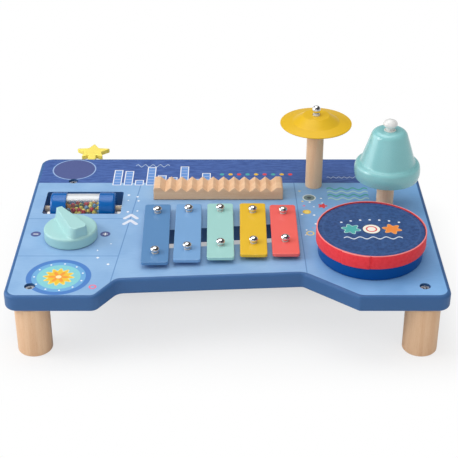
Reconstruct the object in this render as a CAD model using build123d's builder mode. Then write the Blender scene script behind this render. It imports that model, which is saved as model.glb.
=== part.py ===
"""Musical activity table: a small wooden music station for young children.

A thick painted board stands on four round beech legs. It carries a bead
roller in a window, a turning knob, a ridged rasp, a five-bar xylophone over a
resonance slot, a cymbal, a push bell and a drum. A star-headed beater is
stowed in a hole in the rear edge.

Millimetres, +Z up, +X to the player's right, +Y away from the player. The
origin is on the floor, under the middle of the whole table.
"""
import os
from math import acos, atan2, cos, degrees, hypot, radians, sin, tan

from build123d import *

os.makedirs("parts", exist_ok=True)

# ---- board -----------------------------------------------------------------
BOARD_W = 400.0
BOARD_D = 270.0
BOARD_T = 16.0
BOARD_CORNER = 12.0
BOARD_EDGE = 3.0
LEG_H = 51.0
TOP_Z = LEG_H + BOARD_T

# front recess, as board positions of its four corners
RECESS_OUTER_LEFT = -117.5
RECESS_INNER_LEFT = (-99.5, -107.0)
RECESS_INNER_RIGHT = (69.0, -96.0)
RECESS_OUTER_RIGHT = 117.5
RECESS_RADII = (9.0, 11.0, 5.0, 4.0)

# ---- legs ------------------------------------------------------------------
LEG_D = 32.0
FRONT_LEG = (177.5, -117.0)
REAR_LEG = (161.0, 83.0)
BOLT_D = 5.0
BOLT_HEAD_D = 8.5
BOLT_HEAD_H = 5.0
BOLT_L = 26.0
BOLT_SOCKET_R = 2.3
BOLT_SOCKET_H = 2.5
COUNTERBORE_D = 10.0
COUNTERBORE_H = 7.0
LEG_EDGE = 1.2
INSERT_D = 8.0
INSERT_L = 15.0

# ---- bead roller -----------------------------------------------------------
# left, right, front and rear side of the window in the board
WINDOW = (-184.5, -106.5, 14.0, 59.6)
WINDOW_CORNER = 2.5
ROLLER_AT = (-145.5, 36.8)
ROLLER_Z = -7.0
CAP_D = 33.0
CAP_L = 16.0
CAP_RECESS = 6.0
CAP_EDGE = 2.5
TUBE_D = 30.6
TUBE_BORE_D = 28.0
TUBE_SEEN = 33.0
AXLE_D = 6.0
AXLE_IN_CAP = 8.0
AXLE_IN_BOARD = 12.0
AXLE_END_GAP = 0.4
RUNNING_GAP = 0.1
BEADS_GAP = 0.4

# ---- knob ------------------------------------------------------------------
KNOB_AT = (-150.3, -30.5)
KNOB_D = 51.0
KNOB_DISC_H = 9.5
KNOB_H = 20.0
KNOB_LIFT = 1.8
KNOB_TURN = 122.2
KNOB_EDGE = 2.2
# grip, as length along it and half width across it: its foot, then its top
GRIP_FOOT = ((-22.5, 9.0), (22.0, 13.5))
GRIP_TOP = ((-21.5, 8.0), (24.0, 3.0))
GRIP_SUNK = 1.5
KNOB_SCREW_D = 5.0
KNOB_SCREW_IN = 11.0
KNOB_SCREW_HEAD_R = 4.8
KNOB_SCREW_HEAD_H = 3.0
KNOB_SOCKET_H = 2.0
KNOB_COUNTERBORE_R = 8.0
KNOB_COUNTERBORE_H = 5.5
KNOB_WASHER_R = 7.0
KNOB_WASHER_T = 1.0
KNOB_PAD_R = 14.0
KNOB_END_PLAY = 0.3

# ---- rasp ------------------------------------------------------------------
GUIRO_AT = (-9.5, 55.0)
GUIRO_L = 131.0
GUIRO_D = 25.0
GUIRO_H = 14.0
GUIRO_VALLEYS = 11
GUIRO_PITCH = 10.7
GUIRO_VALLEY_Z = 9.4
GUIRO_SHOULDER = 2.5
GUIRO_RIDGE_ROUND = 1.6
GUIRO_EDGE = 1.2

# ---- xylophone -------------------------------------------------------------
BAR_W = 25.5
BAR_T = 3.0
BAR_Z = 4.0
BAR_CORNER = 3.0
BAR_EDGE = 0.7
BAR_HOLE_D = 6.4
# name, rear end, front end, and how far back its two pins stand
BARS = (
    ("blue_bar", (-69.2, 21.0), (-67.0, -88.0), (5.0, -70.5)),
    ("sky_bar", (-38.4, 22.0), (-37.5, -83.5), (8.0, -63.0)),
    ("mint_bar", (-7.4, 23.0), (-6.4, -79.5), (9.0, -56.5)),
    ("yellow_bar", (24.8, 23.5), (24.4, -74.2), (6.3, -52.3)),
    ("red_bar", (54.4, 20.2), (54.6, -73.2), (4.3, -49.0)),
)
PIN_D = 3.2
PIN_HEAD_D = 7.6
PIN_HEAD_Z = 9.6
PIN_HEAD_RIM = 0.6
PIN_HEAD_H = 3.9
PIN_DEPTH = 12.0
SLEEVE_FOOT_R = 5.0
SLEEVE_RISE = 0.6
SLOT_AT = (-7.0, -29.2)
SLOT_L = 119.0
SLOT_W = 34.0
SLOT_TURN = 6.2
SLOT_CORNER = 8.0

# ---- cymbal ----------------------------------------------------------------
CYMBAL_AT = (89.0, 74.0)
POST_D = 17.1
POST_EDGE = 1.0
POST_BORE = 27.0
CYMBAL_D = 72.0
CYMBAL_RIM_Z = 71.6
CYMBAL_TOP_Z = 80.2
CYMBAL_FOOT_D = 46.0
CYMBAL_CROWN_D = 24.0
CYMBAL_T = 1.2
CYMBAL_HOLE_D = 8.0
CYMBAL_BEND = 3.0
CYMBAL_POST_H = 75.2
FELT_H = 2.8
FELT_R = 6.0
BUSH_FLANGE_R = 5.0
BUSH_FLANGE_T = 0.3
BUSH_R = 3.4
BUSH_H = 3.4
CYMBAL_SCREW_R = 2.0
CYMBAL_SCREW_IN = 18.0
COLLAR_R = 2.9
BALL_R = 4.25

# ---- bell ------------------------------------------------------------------
BELL_AT = (157.6, 31.0)
BELL_POST_H = 52.0
BELL_LIP_R = 33.0
BELL_LIP_Z = 34.0
BELL_BAND_H = 7.0
BELL_SHOULDER_Z = 50.0
BELL_BODY_R = 27.1
BELL_CROWN_R = 16.2
BELL_TOP_Z = 84.0
BELL_WALL = 1.5
BELL_HOLE_D = 10.2
BELL_BUSH_R = 6.0
BELL_BUSH_HEAD_R = 9.0
BELL_COLLAR_RISE = 0.5
BUTTON_D = 14.2
BUTTON_H = 9.4
BUTTON_Z = 90.5
NECK_D = 8.0
NECK_GAP = 0.35
NECK_FOOT_Z = 78.0
PLUNGER_D = 3.0
PLUNGER_TIP_Z = 62.9
PLUNGER_IN_BUTTON = 6.5
PRESS_TRAVEL = 2.5
SPRING_WIRE = 0.6
SPRING_R = 2.9
SPRING_TURNS = 4
BRIDGE_Z = 70.0
FRAME_T = 1.2
FRAME_HALF_W = 6.0
FRAME_X = (-6.0, 9.0)
FRAME_SCREW_R = 1.45
FRAME_SCREW_IN = 12.0
FRAME_SCREW_HEAD_R = 2.9
PIVOT_X = 6.0
PIVOT_Z = 60.0
PIVOT_D = 2.0
LEVER_T = 2.0
LEVER_W = 5.0
LEVER_BOSS_R = 2.2
SHORT_ARM = 8.0
SHORT_ARM_RISE = 11.95
HAMMER_ARM = 12.7
HAMMER_DROP = 20.0
HAMMER_D = 5.0

# ---- drum ------------------------------------------------------------------
DRUM_AT = (133.8, -59.4)
DRUM_SHELL_R = 49.0
DRUM_SHELL_BORE_R = 44.0
DRUM_SHELL_H = 25.0
DRUM_BASE_H = 6.0
SKIN_T = 1.0
SKIN_SKIRT = 11.0
BAND_T = 1.2
BAND_Z = (13.6, 27.0)
DRUM_SHELL_EDGE = 1.6
SKIN_EDGE = 0.8

# ---- beater ----------------------------------------------------------------
BEATER_X = -149.0
BEATER_Z = -8.0
STAR_R = 20.2
STAR_INNER_R = 9.6
STAR_TIP_ROUND = 1.0
STAR_NOTCH_ROUND = 1.5
STAR_EDGE = 0.9
STAR_T = 5.0
STAR_OUT = 30.0
# the star is a little wider than it is deep
STAR_SQUASH = 0.85
STAR_NECK_W = 8.4
STICK_D = 7.0
STICK_IN_BOARD = 60.0
STICK_SHOULDER = 27.0
TENON_L = 12.0
TENON_D = 3.0
BEATER_GAP = 0.35
# a star's rounded tip ends a little short of its sharp corner
STAR_TIP_H = STAR_SQUASH * (STAR_R - STAR_INNER_R * cos(radians(36)))
STAR_TIP_HALF_ANGLE = atan2(STAR_INNER_R * sin(radians(36)), STAR_TIP_H)
STAR_TIP_OUT = STAR_SQUASH * STAR_R - STAR_TIP_ROUND * (1 / sin(STAR_TIP_HALF_ANGLE) - 1)
BEATER_REACH = STAR_OUT + STAR_TIP_OUT

# The beater stands out behind the board, so the board's middle lies this far
# in front of the middle of the whole table.
BOARD_Y = -BEATER_REACH / 2

# ---- wood screws driven up from below --------------------------------------
SCREW_D = 3.6
SCREW_HEAD_D = 7.6
SCREW_POINT = 4.0
COUNTERSINK_D = 9.4
SEAT_GAP = 0.05
HOLE_GAP = 0.3
SCREW_SUNK = 0.3
SCREW_HEAD_RIM = 0.4
GUIRO_SCREW_OUT = 42.0
GUIRO_SCREW_L = 24.0
GUIRO_SCREW_BORE = 9.0
POST_SCREW_L = 42.0
DRUM_SCREW_OUT = 28.0
DRUM_SCREW_L = 20.5
DRUM_SCREW_BORE = 5.2


def board_plane(x=0.0, y=0.0, z=0.0, turn=0.0):
    """Level plane at board position (x, y), at height z above the board's top."""
    return Plane(origin=(x, BOARD_Y + y, TOP_Z + z)).rotated((0, 0, turn))


def under_plane(x, y, z=-BOARD_T):
    """Plane that looks down from the board's underside, so a hole goes up."""
    return Plane(origin=(x, BOARD_Y + y, TOP_Z + z), z_dir=(0, 0, -1))


def profile_plane(x, y):
    """Upright plane through a vertical axis at (x, y), for turned pieces."""
    return Plane(origin=(x, BOARD_Y + y, TOP_Z), x_dir=(1, 0, 0), z_dir=(0, -1, 0))


def across_plane(x, y, z):
    """Upright plane that faces +X, with its own x along +Y and its own y up."""
    return Plane(origin=(x, BOARD_Y + y, TOP_Z + z), x_dir=(0, 1, 0), z_dir=(1, 0, 0))


def turned_axis(x, y):
    """Vertical axis at board position (x, y)."""
    return Axis((x, BOARD_Y + y, 0), (0, 0, 1))


def dome_arc(half_width, foot, top):
    """Quarter outline of a round dome, centred on the upright axis, for BuildLine."""
    rise = top - foot
    radius = (half_width**2 + rise**2) / (2 * rise)
    start = degrees(atan2(foot - top + radius, half_width))
    return CenterArc((0, top - radius), radius, start, 90 - start)


def save(part, name):
    """Label a finished piece and write it as one STEP file."""
    part.label = name
    export_step(part, f"parts/{name}.step")


def along_bar(rear, front, y):
    """Point on a bar's centre line at board depth y."""
    share = (y - rear[1]) / (front[1] - rear[1])
    return (rear[0] + share * (front[0] - rear[0]), y)


LEGS = {
    "front_left_leg": (-FRONT_LEG[0], FRONT_LEG[1]),
    "front_right_leg": FRONT_LEG,
    "rear_left_leg": (-REAR_LEG[0], REAR_LEG[1]),
    "rear_right_leg": REAR_LEG,
}
PINS = [along_bar(rear, front, y) for _, rear, front, depths in BARS for y in depths]
GUIRO_SCREWS = [(GUIRO_AT[0] + side * GUIRO_SCREW_OUT, GUIRO_AT[1]) for side in (-1, 1)]
POST_SCREWS = [CYMBAL_AT, BELL_AT]
DRUM_SCREWS = [
    (DRUM_AT[0] + DRUM_SCREW_OUT * cos(radians(a)), DRUM_AT[1] + DRUM_SCREW_OUT * sin(radians(a)))
    for a in (90, 210, 330)
]

# ---- tabletop --------------------------------------------------------------
with BuildPart() as tabletop:
    with BuildSketch(board_plane(z=-BOARD_T)):
        with BuildLine():
            FilletPolyline(
                (-BOARD_W / 2, -BOARD_D / 2),
                (RECESS_OUTER_LEFT, -BOARD_D / 2),
                RECESS_INNER_LEFT,
                RECESS_INNER_RIGHT,
                (RECESS_OUTER_RIGHT, -BOARD_D / 2),
                (BOARD_W / 2, -BOARD_D / 2),
                (BOARD_W / 2, BOARD_D / 2),
                (-BOARD_W / 2, BOARD_D / 2),
                radius=(BOARD_CORNER, *RECESS_RADII, *[BOARD_CORNER] * 3),
                close=True,
            )
        make_face()
    extrude(amount=BOARD_T)
    rims = tabletop.edges().filter_by(GeomType.LINE).filter_by(Axis.Z, reverse=True)
    rims += tabletop.edges().filter_by(GeomType.CIRCLE)
    fillet(rims, BOARD_EDGE)

    # window for the bead roller, and the slot under the bars
    with BuildSketch(board_plane((WINDOW[0] + WINDOW[1]) / 2, (WINDOW[2] + WINDOW[3]) / 2)):
        RectangleRounded(WINDOW[1] - WINDOW[0], WINDOW[3] - WINDOW[2], WINDOW_CORNER)
    extrude(amount=-BOARD_T, mode=Mode.SUBTRACT)
    with BuildSketch(board_plane(*SLOT_AT, turn=SLOT_TURN)):
        RectangleRounded(SLOT_L, SLOT_W, SLOT_CORNER)
    extrude(amount=-BOARD_T, mode=Mode.SUBTRACT)

    # leg bolts, from above
    with Locations(*[board_plane(*at) for at in LEGS.values()]):
        CounterBoreHole(BOLT_D / 2 + HOLE_GAP, COUNTERBORE_D / 2, COUNTERBORE_H, BOARD_T)
    # bar pins, blind
    with Locations(*[board_plane(*at) for at in PINS]):
        Hole(PIN_D / 2 + SEAT_GAP, PIN_DEPTH)
    # wood screws, from below
    with Locations(*[under_plane(*at) for at in GUIRO_SCREWS + POST_SCREWS + DRUM_SCREWS]):
        CounterSinkHole(SCREW_D / 2 + HOLE_GAP, COUNTERSINK_D / 2, BOARD_T, counter_sink_angle=90)
    # the knob's screw, with its head sunk below
    with Locations(under_plane(*KNOB_AT)):
        CounterBoreHole(
            KNOB_SCREW_D / 2 + HOLE_GAP, KNOB_COUNTERBORE_R, KNOB_COUNTERBORE_H, BOARD_T
        )
    # stub axles of the roller: through the left edge, blind on the right
    with BuildSketch(across_plane(-BOARD_W / 2, ROLLER_AT[1], ROLLER_Z)):
        Circle(AXLE_D / 2 + SEAT_GAP)
    extrude(amount=WINDOW[1] + AXLE_IN_BOARD + BOARD_W / 2, mode=Mode.SUBTRACT)
    # blind hole for the beater in the rear edge
    with BuildSketch(
        Plane(origin=(BEATER_X, BOARD_Y + BOARD_D / 2, TOP_Z + BEATER_Z), z_dir=(0, -1, 0))
    ):
        Circle(STICK_D / 2 + BEATER_GAP)
    extrude(amount=STICK_IN_BOARD + 1.0, mode=Mode.SUBTRACT)
save(tabletop.part, "tabletop")

# ---- legs, their bolts and inserts -----------------------------------------
for name, (x, y) in LEGS.items():
    with BuildPart() as leg:
        with BuildSketch(board_plane(x, y, -BOARD_T)):
            Circle(LEG_D / 2)
        extrude(amount=-LEG_H)
        chamfer(leg.edges(), LEG_EDGE)
        with Locations(board_plane(x, y, -BOARD_T)):
            Hole(INSERT_D / 2 + SEAT_GAP, INSERT_L + 1.0)
    save(leg.part, name)

with BuildPart() as leg_bolts:
    for x, y in LEGS.values():
        with BuildSketch(board_plane(x, y, -COUNTERBORE_H)):
            Circle(BOLT_HEAD_D / 2)
        extrude(amount=BOLT_HEAD_H)
        with BuildSketch(board_plane(x, y, -COUNTERBORE_H)):
            Circle(BOLT_D / 2 - SEAT_GAP)
        extrude(amount=-BOLT_L + BOLT_HEAD_H)
        with BuildSketch(board_plane(x, y, -COUNTERBORE_H + BOLT_HEAD_H)):
            RegularPolygon(BOLT_SOCKET_R, 6)
        extrude(amount=-BOLT_SOCKET_H, mode=Mode.SUBTRACT)
save(leg_bolts.part, "leg_bolts")

with BuildPart() as leg_inserts:
    for x, y in LEGS.values():
        with BuildSketch(board_plane(x, y, -BOARD_T)):
            Circle(INSERT_D / 2)
            Circle(BOLT_D / 2, mode=Mode.SUBTRACT)
        extrude(amount=-INSERT_L)
save(leg_inserts.part, "leg_inserts")


# ---- wood screws -----------------------------------------------------------
def wood_screw(length):
    """Countersunk wood screw, head up at the origin, pointing along +Z."""
    head = SCREW_HEAD_D / 2
    shank = SCREW_D / 2
    with BuildPart() as screw:
        with BuildSketch(Plane.XZ):
            with BuildLine():
                Polyline(
                    (0, 0),
                    (head, 0),
                    (head, SCREW_HEAD_RIM),
                    (shank, SCREW_HEAD_RIM + head - shank),
                    (shank, length - SCREW_POINT),
                    (0, length),
                    close=True,
                )
            make_face()
        revolve(axis=Axis.Z)
    return screw.part


def screws_from_below(places, length):
    """One wood screw at each board position, its head just inside the underside."""
    screw = wood_screw(length)
    with BuildPart() as group:
        with Locations(*[board_plane(x, y, -BOARD_T + SCREW_SUNK) for x, y in places]):
            add(screw)
    return group.part


save(screws_from_below(GUIRO_SCREWS, GUIRO_SCREW_L), "guiro_screws")
save(screws_from_below(POST_SCREWS, POST_SCREW_L), "post_screws")
save(screws_from_below(DRUM_SCREWS, DRUM_SCREW_L), "drum_screws")

# ---- bead roller -----------------------------------------------------------
ROLLER_L = TUBE_SEEN + 2 * CAP_L
CAVITY_L = TUBE_SEEN + 2 * CAP_RECESS


def roller_plane(x):
    """Plane square to the roller's axis, x along it from the roller's middle."""
    return across_plane(ROLLER_AT[0] + x, ROLLER_AT[1], ROLLER_Z)


for name, side in (("left_roller_cap", -1), ("right_roller_cap", 1)):
    with BuildPart() as cap:
        with BuildSketch(roller_plane(side * TUBE_SEEN / 2)):
            Circle(CAP_D / 2)
        extrude(amount=side * CAP_L)
        outer_face = cap.faces().sort_by(Axis.X)[0 if side < 0 else -1]
        fillet(outer_face.edges(), CAP_EDGE)
        with BuildSketch(roller_plane(side * TUBE_SEEN / 2)):
            Circle(TUBE_D / 2 + SEAT_GAP)
        extrude(amount=side * CAP_RECESS, mode=Mode.SUBTRACT)
        with BuildSketch(roller_plane(side * ROLLER_L / 2)):
            Circle(AXLE_D / 2 + RUNNING_GAP)
        extrude(amount=-side * (AXLE_IN_CAP + AXLE_END_GAP), mode=Mode.SUBTRACT)
    save(cap.part, name)

with BuildPart() as roller_tube:
    with BuildSketch(roller_plane(-CAVITY_L / 2)):
        Circle(TUBE_D / 2)
        Circle(TUBE_BORE_D / 2, mode=Mode.SUBTRACT)
    extrude(amount=CAVITY_L)
save(roller_tube.part, "roller_tube")

# The beads lie in the lower part of the tube: one solid of their outer shape.
BEADS_R = TUBE_BORE_D / 2 - BEADS_GAP
with BuildPart() as roller_beads:
    with BuildSketch(roller_plane(-CAVITY_L / 2 + BEADS_GAP)):
        Circle(BEADS_R)
        with Locations((0, BEADS_R)):
            Rectangle(3 * BEADS_R, 2 * BEADS_R, mode=Mode.SUBTRACT)
    extrude(amount=CAVITY_L - 2 * BEADS_GAP)
save(roller_beads.part, "roller_beads")

LEFT_WALL = -BOARD_W / 2 - ROLLER_AT[0]
RIGHT_END = WINDOW[1] + AXLE_IN_BOARD - AXLE_END_GAP - ROLLER_AT[0]
with BuildPart() as left_roller_axle:
    with BuildSketch(roller_plane(LEFT_WALL + AXLE_END_GAP)):
        Circle(AXLE_D / 2)
    extrude(amount=-ROLLER_L / 2 + AXLE_IN_CAP - LEFT_WALL - AXLE_END_GAP)
save(left_roller_axle.part, "left_roller_axle")

with BuildPart() as right_roller_axle:
    with BuildSketch(roller_plane(ROLLER_L / 2 - AXLE_IN_CAP)):
        Circle(AXLE_D / 2)
    extrude(amount=RIGHT_END - ROLLER_L / 2 + AXLE_IN_CAP)
save(right_roller_axle.part, "right_roller_axle")

# ---- knob ------------------------------------------------------------------
KNOB_R = KNOB_D / 2


def grip_outline(ends, corner):
    """Four-sided outline of the pointer grip, for BuildSketch."""
    (back, half_back), (tip, half_tip) = ends
    with BuildLine() as outline:
        FilletPolyline(
            (back, -half_back),
            (tip, -half_tip),
            (tip, half_tip),
            (back, half_back),
            radius=corner,
            close=True,
        )
    return make_face(outline.edges())


with BuildPart() as knob:
    with BuildSketch(board_plane(*KNOB_AT, KNOB_LIFT)):
        Circle(KNOB_R)
    extrude(amount=KNOB_DISC_H)
    fillet(knob.faces().sort_by(Axis.Z)[-1].edges(), KNOB_EDGE)
    # pointer grip: a broad foot that rises to a top narrowing towards the tip
    with BuildSketch(board_plane(*KNOB_AT, KNOB_LIFT + KNOB_DISC_H - GRIP_SUNK, KNOB_TURN)):
        grip_outline(GRIP_FOOT, 2.5)
    with BuildSketch(board_plane(*KNOB_AT, KNOB_LIFT + KNOB_H, KNOB_TURN)):
        grip_outline(GRIP_TOP, 1.8)
    loft()
    fillet(knob.faces().sort_by(Axis.Z)[-1].edges(), 0.8)
    with Locations(under_plane(*KNOB_AT, KNOB_LIFT)):
        Hole(KNOB_SCREW_D / 2 + SEAT_GAP, KNOB_SCREW_IN + 1.0)
save(knob.part, "knob")

with BuildPart() as knob_pad:
    with BuildSketch(board_plane(*KNOB_AT)):
        Circle(KNOB_PAD_R)
        Circle(KNOB_SCREW_D / 2 + HOLE_GAP, mode=Mode.SUBTRACT)
    extrude(amount=KNOB_LIFT - KNOB_END_PLAY)
save(knob_pad.part, "knob_pad")

KNOB_SEAT_Z = -BOARD_T + KNOB_COUNTERBORE_H
KNOB_HEAD_Z = KNOB_SEAT_Z - KNOB_WASHER_T - KNOB_END_PLAY
with BuildPart() as knob_washer:
    with BuildSketch(board_plane(*KNOB_AT, KNOB_SEAT_Z)):
        Circle(KNOB_WASHER_R)
        Circle(KNOB_SCREW_D / 2 + HOLE_GAP, mode=Mode.SUBTRACT)
    extrude(amount=-KNOB_WASHER_T)
save(knob_washer.part, "knob_washer")

with BuildPart() as knob_screw:
    with BuildSketch(board_plane(*KNOB_AT, KNOB_HEAD_Z)):
        Circle(KNOB_SCREW_HEAD_R)
    extrude(amount=-KNOB_SCREW_HEAD_H)
    with BuildSketch(board_plane(*KNOB_AT, KNOB_HEAD_Z)):
        Circle(KNOB_SCREW_D / 2)
    extrude(amount=KNOB_LIFT + KNOB_SCREW_IN - KNOB_HEAD_Z)
    with BuildSketch(board_plane(*KNOB_AT, KNOB_HEAD_Z - KNOB_SCREW_HEAD_H)):
        RegularPolygon(BOLT_SOCKET_R, 6)
    extrude(amount=KNOB_SOCKET_H, mode=Mode.SUBTRACT)
save(knob_screw.part, "knob_screw")

# ---- rasp ------------------------------------------------------------------
HALF_L = GUIRO_L / 2
FIRST_VALLEY = -GUIRO_PITCH * (GUIRO_VALLEYS - 1) / 2
ridge_line = [(FIRST_VALLEY - GUIRO_PITCH / 2, GUIRO_H)]
for i in range(GUIRO_VALLEYS):
    ridge_line += [
        (FIRST_VALLEY + GUIRO_PITCH * i, GUIRO_VALLEY_Z),
        (FIRST_VALLEY + GUIRO_PITCH * (i + 0.5), GUIRO_H),
    ]
with BuildPart() as guiro:
    with BuildSketch(profile_plane(*GUIRO_AT)):
        with BuildLine():
            FilletPolyline(
                (HALF_L, 0),
                (HALF_L, GUIRO_H),
                *reversed(ridge_line),
                (-HALF_L, GUIRO_H),
                (-HALF_L, 0),
                radius=(
                    0,
                    GUIRO_SHOULDER,
                    *[GUIRO_RIDGE_ROUND] * len(ridge_line),
                    GUIRO_SHOULDER,
                    0,
                ),
                close=True,
            )
        make_face()
    extrude(amount=GUIRO_D / 2, both=True)
    fillet(guiro.edges().filter_by(Axis.Z), GUIRO_EDGE)
    with Locations(*[under_plane(x, y, 0) for x, y in GUIRO_SCREWS]):
        Hole(SCREW_D / 2 + SEAT_GAP, GUIRO_SCREW_BORE)
save(guiro.part, "guiro")

# ---- xylophone -------------------------------------------------------------
for name, rear, front, depths in BARS:
    length = hypot(rear[0] - front[0], rear[1] - front[1])
    turn = degrees(atan2(front[0] - rear[0], rear[1] - front[1]))
    middle = ((rear[0] + front[0]) / 2, (rear[1] + front[1]) / 2)
    with BuildPart() as bar:
        with BuildSketch(board_plane(*middle, BAR_Z, turn)):
            RectangleRounded(BAR_W, length, BAR_CORNER)
        extrude(amount=BAR_T)
        fillet(bar.faces().sort_by(Axis.Z)[-1].edges(), BAR_EDGE)
        with Locations(*[board_plane(*along_bar(rear, front, y), BAR_Z + BAR_T) for y in depths]):
            Hole(BAR_HOLE_D / 2, BAR_T)
    save(bar.part, name)

PIN_R = PIN_D / 2
with BuildPart() as pin:
    with BuildSketch(Plane.XZ):
        with BuildLine():
            shank = Polyline(
                (0, -PIN_DEPTH),
                (PIN_R, -PIN_DEPTH),
                (PIN_R, PIN_HEAD_Z),
                (PIN_HEAD_D / 2, PIN_HEAD_Z),
                (PIN_HEAD_D / 2, PIN_HEAD_Z + PIN_HEAD_RIM),
            )
            dome = dome_arc(PIN_HEAD_D / 2, PIN_HEAD_Z + PIN_HEAD_RIM, PIN_HEAD_Z + PIN_HEAD_H)
            Line(dome @ 1, shank @ 0)
        make_face()
    revolve(axis=Axis.Z)

with BuildPart() as bar_pins:
    with Locations(*[board_plane(*at) for at in PINS]):
        add(pin.part)
save(bar_pins.part, "bar_pins")

with BuildPart() as sleeve:
    with BuildSketch(Plane.XY):
        Circle(SLEEVE_FOOT_R)
    extrude(amount=BAR_Z)
    with BuildSketch(Plane.XY):
        Circle(BAR_HOLE_D / 2 - SEAT_GAP)
    extrude(amount=BAR_Z + BAR_T + SLEEVE_RISE)
    Hole(PIN_R + SEAT_GAP)

with BuildPart() as bar_sleeves:
    with Locations(*[board_plane(*at) for at in PINS]):
        add(sleeve.part)
save(bar_sleeves.part, "bar_sleeves")


# ---- posts -----------------------------------------------------------------
def post(at, height):
    """Round beech post that stands on the board, drilled for its screw."""
    with BuildPart() as stick:
        with BuildSketch(board_plane(*at)):
            Circle(POST_D / 2)
        extrude(amount=height)
        chamfer(stick.faces().sort_by(Axis.Z)[-1].edges(), POST_EDGE)
        with Locations(under_plane(*at, 0)):
            Hole(SCREW_D / 2 + SEAT_GAP, POST_BORE)
    return stick


cymbal_post = post(CYMBAL_AT, CYMBAL_POST_H)
with cymbal_post:
    with Locations(board_plane(*CYMBAL_AT, CYMBAL_POST_H)):
        Hole(CYMBAL_SCREW_R + SEAT_GAP, CYMBAL_SCREW_IN + 2.0)
save(cymbal_post.part, "cymbal_post")

bell_post = post(BELL_AT, BELL_POST_H)
with bell_post:
    with Locations(board_plane(*BELL_AT, BELL_POST_H)):
        Hole(FRAME_SCREW_R + SEAT_GAP, FRAME_SCREW_IN + 2.0)
save(bell_post.part, "bell_post")

# ---- cymbal ----------------------------------------------------------------
CYMBAL_PROFILE = (
    (CYMBAL_D / 2, CYMBAL_RIM_Z),
    (CYMBAL_FOOT_D / 2, CYMBAL_RIM_Z + 1.8),
    (CYMBAL_CROWN_D / 2, CYMBAL_TOP_Z),
    (CYMBAL_HOLE_D / 2, CYMBAL_TOP_Z),
)
with BuildPart() as cymbal:
    with BuildSketch(profile_plane(*CYMBAL_AT)):
        with BuildLine():
            FilletPolyline(*CYMBAL_PROFILE, radius=CYMBAL_BEND)
            offset(amount=CYMBAL_T, side=Side.LEFT)
        make_face()
    revolve(axis=turned_axis(*CYMBAL_AT))
save(cymbal.part, "cymbal")

with BuildPart() as cymbal_felt:
    with BuildSketch(board_plane(*CYMBAL_AT, CYMBAL_POST_H)):
        Circle(FELT_R)
        Circle(CYMBAL_SCREW_R + HOLE_GAP, mode=Mode.SUBTRACT)
    extrude(amount=FELT_H)
save(cymbal_felt.part, "cymbal_felt")

BUSH_Z = CYMBAL_POST_H + FELT_H + 0.2
with BuildPart() as cymbal_bush:
    with BuildSketch(board_plane(*CYMBAL_AT, BUSH_Z)):
        Circle(BUSH_FLANGE_R)
    extrude(amount=BUSH_FLANGE_T)
    with BuildSketch(board_plane(*CYMBAL_AT, BUSH_Z)):
        Circle(BUSH_R)
    extrude(amount=BUSH_H)
    with Locations(board_plane(*CYMBAL_AT, BUSH_Z + BUSH_H)):
        Hole(CYMBAL_SCREW_R + RUNNING_GAP, BUSH_H)
save(cymbal_bush.part, "cymbal_bush")

COLLAR_Z = BUSH_Z + BUSH_H + 0.4
BALL_Z = COLLAR_Z + 3.8
BALL_START = -degrees(acos(COLLAR_R / BALL_R))
with BuildPart() as cymbal_screw:
    with BuildSketch(profile_plane(*CYMBAL_AT)):
        with BuildLine():
            ball = CenterArc((0, BALL_Z), BALL_R, BALL_START, 90 - BALL_START)
            Polyline(
                ball @ 1,
                (0, CYMBAL_POST_H - CYMBAL_SCREW_IN),
                (CYMBAL_SCREW_R, CYMBAL_POST_H - CYMBAL_SCREW_IN),
                (CYMBAL_SCREW_R, COLLAR_Z),
                (COLLAR_R, COLLAR_Z),
                ball @ 0,
            )
        make_face()
    revolve(axis=turned_axis(*CYMBAL_AT))
save(cymbal_screw.part, "cymbal_screw")

# ---- bell ------------------------------------------------------------------
with BuildPart() as bell_dome:
    with BuildSketch(profile_plane(*BELL_AT)):
        with BuildLine():
            FilletPolyline(
                (BELL_LIP_R - 0.4, BELL_LIP_Z),
                (BELL_LIP_R, BELL_LIP_Z + BELL_BAND_H),
                (BELL_LIP_R - 1.2, BELL_SHOULDER_Z),
                (BELL_BODY_R, BELL_SHOULDER_Z),
                (BELL_CROWN_R, BELL_TOP_Z),
                (BELL_HOLE_D / 2, BELL_TOP_Z),
                radius=(20.0, 3.0, 2.6, 7.0),
            )
            offset(amount=BELL_WALL, side=Side.LEFT)
        make_face()
    revolve(axis=turned_axis(*BELL_AT))
save(bell_dome.part, "bell_dome")

# Steel frame on the post: a closed window that carries the lever's pivot and,
# on its bridge, the bush that holds the dome.
with BuildPart() as bell_frame:
    with BuildSketch(across_plane(BELL_AT[0] + FRAME_X[0], BELL_AT[1], 0)):
        with Locations((0, (BELL_POST_H + BRIDGE_Z) / 2)):
            Rectangle(2 * FRAME_HALF_W, BRIDGE_Z - BELL_POST_H)
            Rectangle(
                2 * (FRAME_HALF_W - FRAME_T),
                BRIDGE_Z - BELL_POST_H - 2 * FRAME_T,
                mode=Mode.SUBTRACT,
            )
    extrude(amount=FRAME_X[1] - FRAME_X[0])
    with Locations(board_plane(*BELL_AT, BRIDGE_Z)):
        Hole(PLUNGER_D / 2 + 0.4)
    with BuildSketch(
        Plane(
            origin=(BELL_AT[0] + PIVOT_X, BOARD_Y + BELL_AT[1], TOP_Z + PIVOT_Z), z_dir=(0, 1, 0)
        )
    ):
        Circle(PIVOT_D / 2 + SEAT_GAP)
    extrude(amount=FRAME_HALF_W, both=True, mode=Mode.SUBTRACT)
save(bell_frame.part, "bell_frame")

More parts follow.
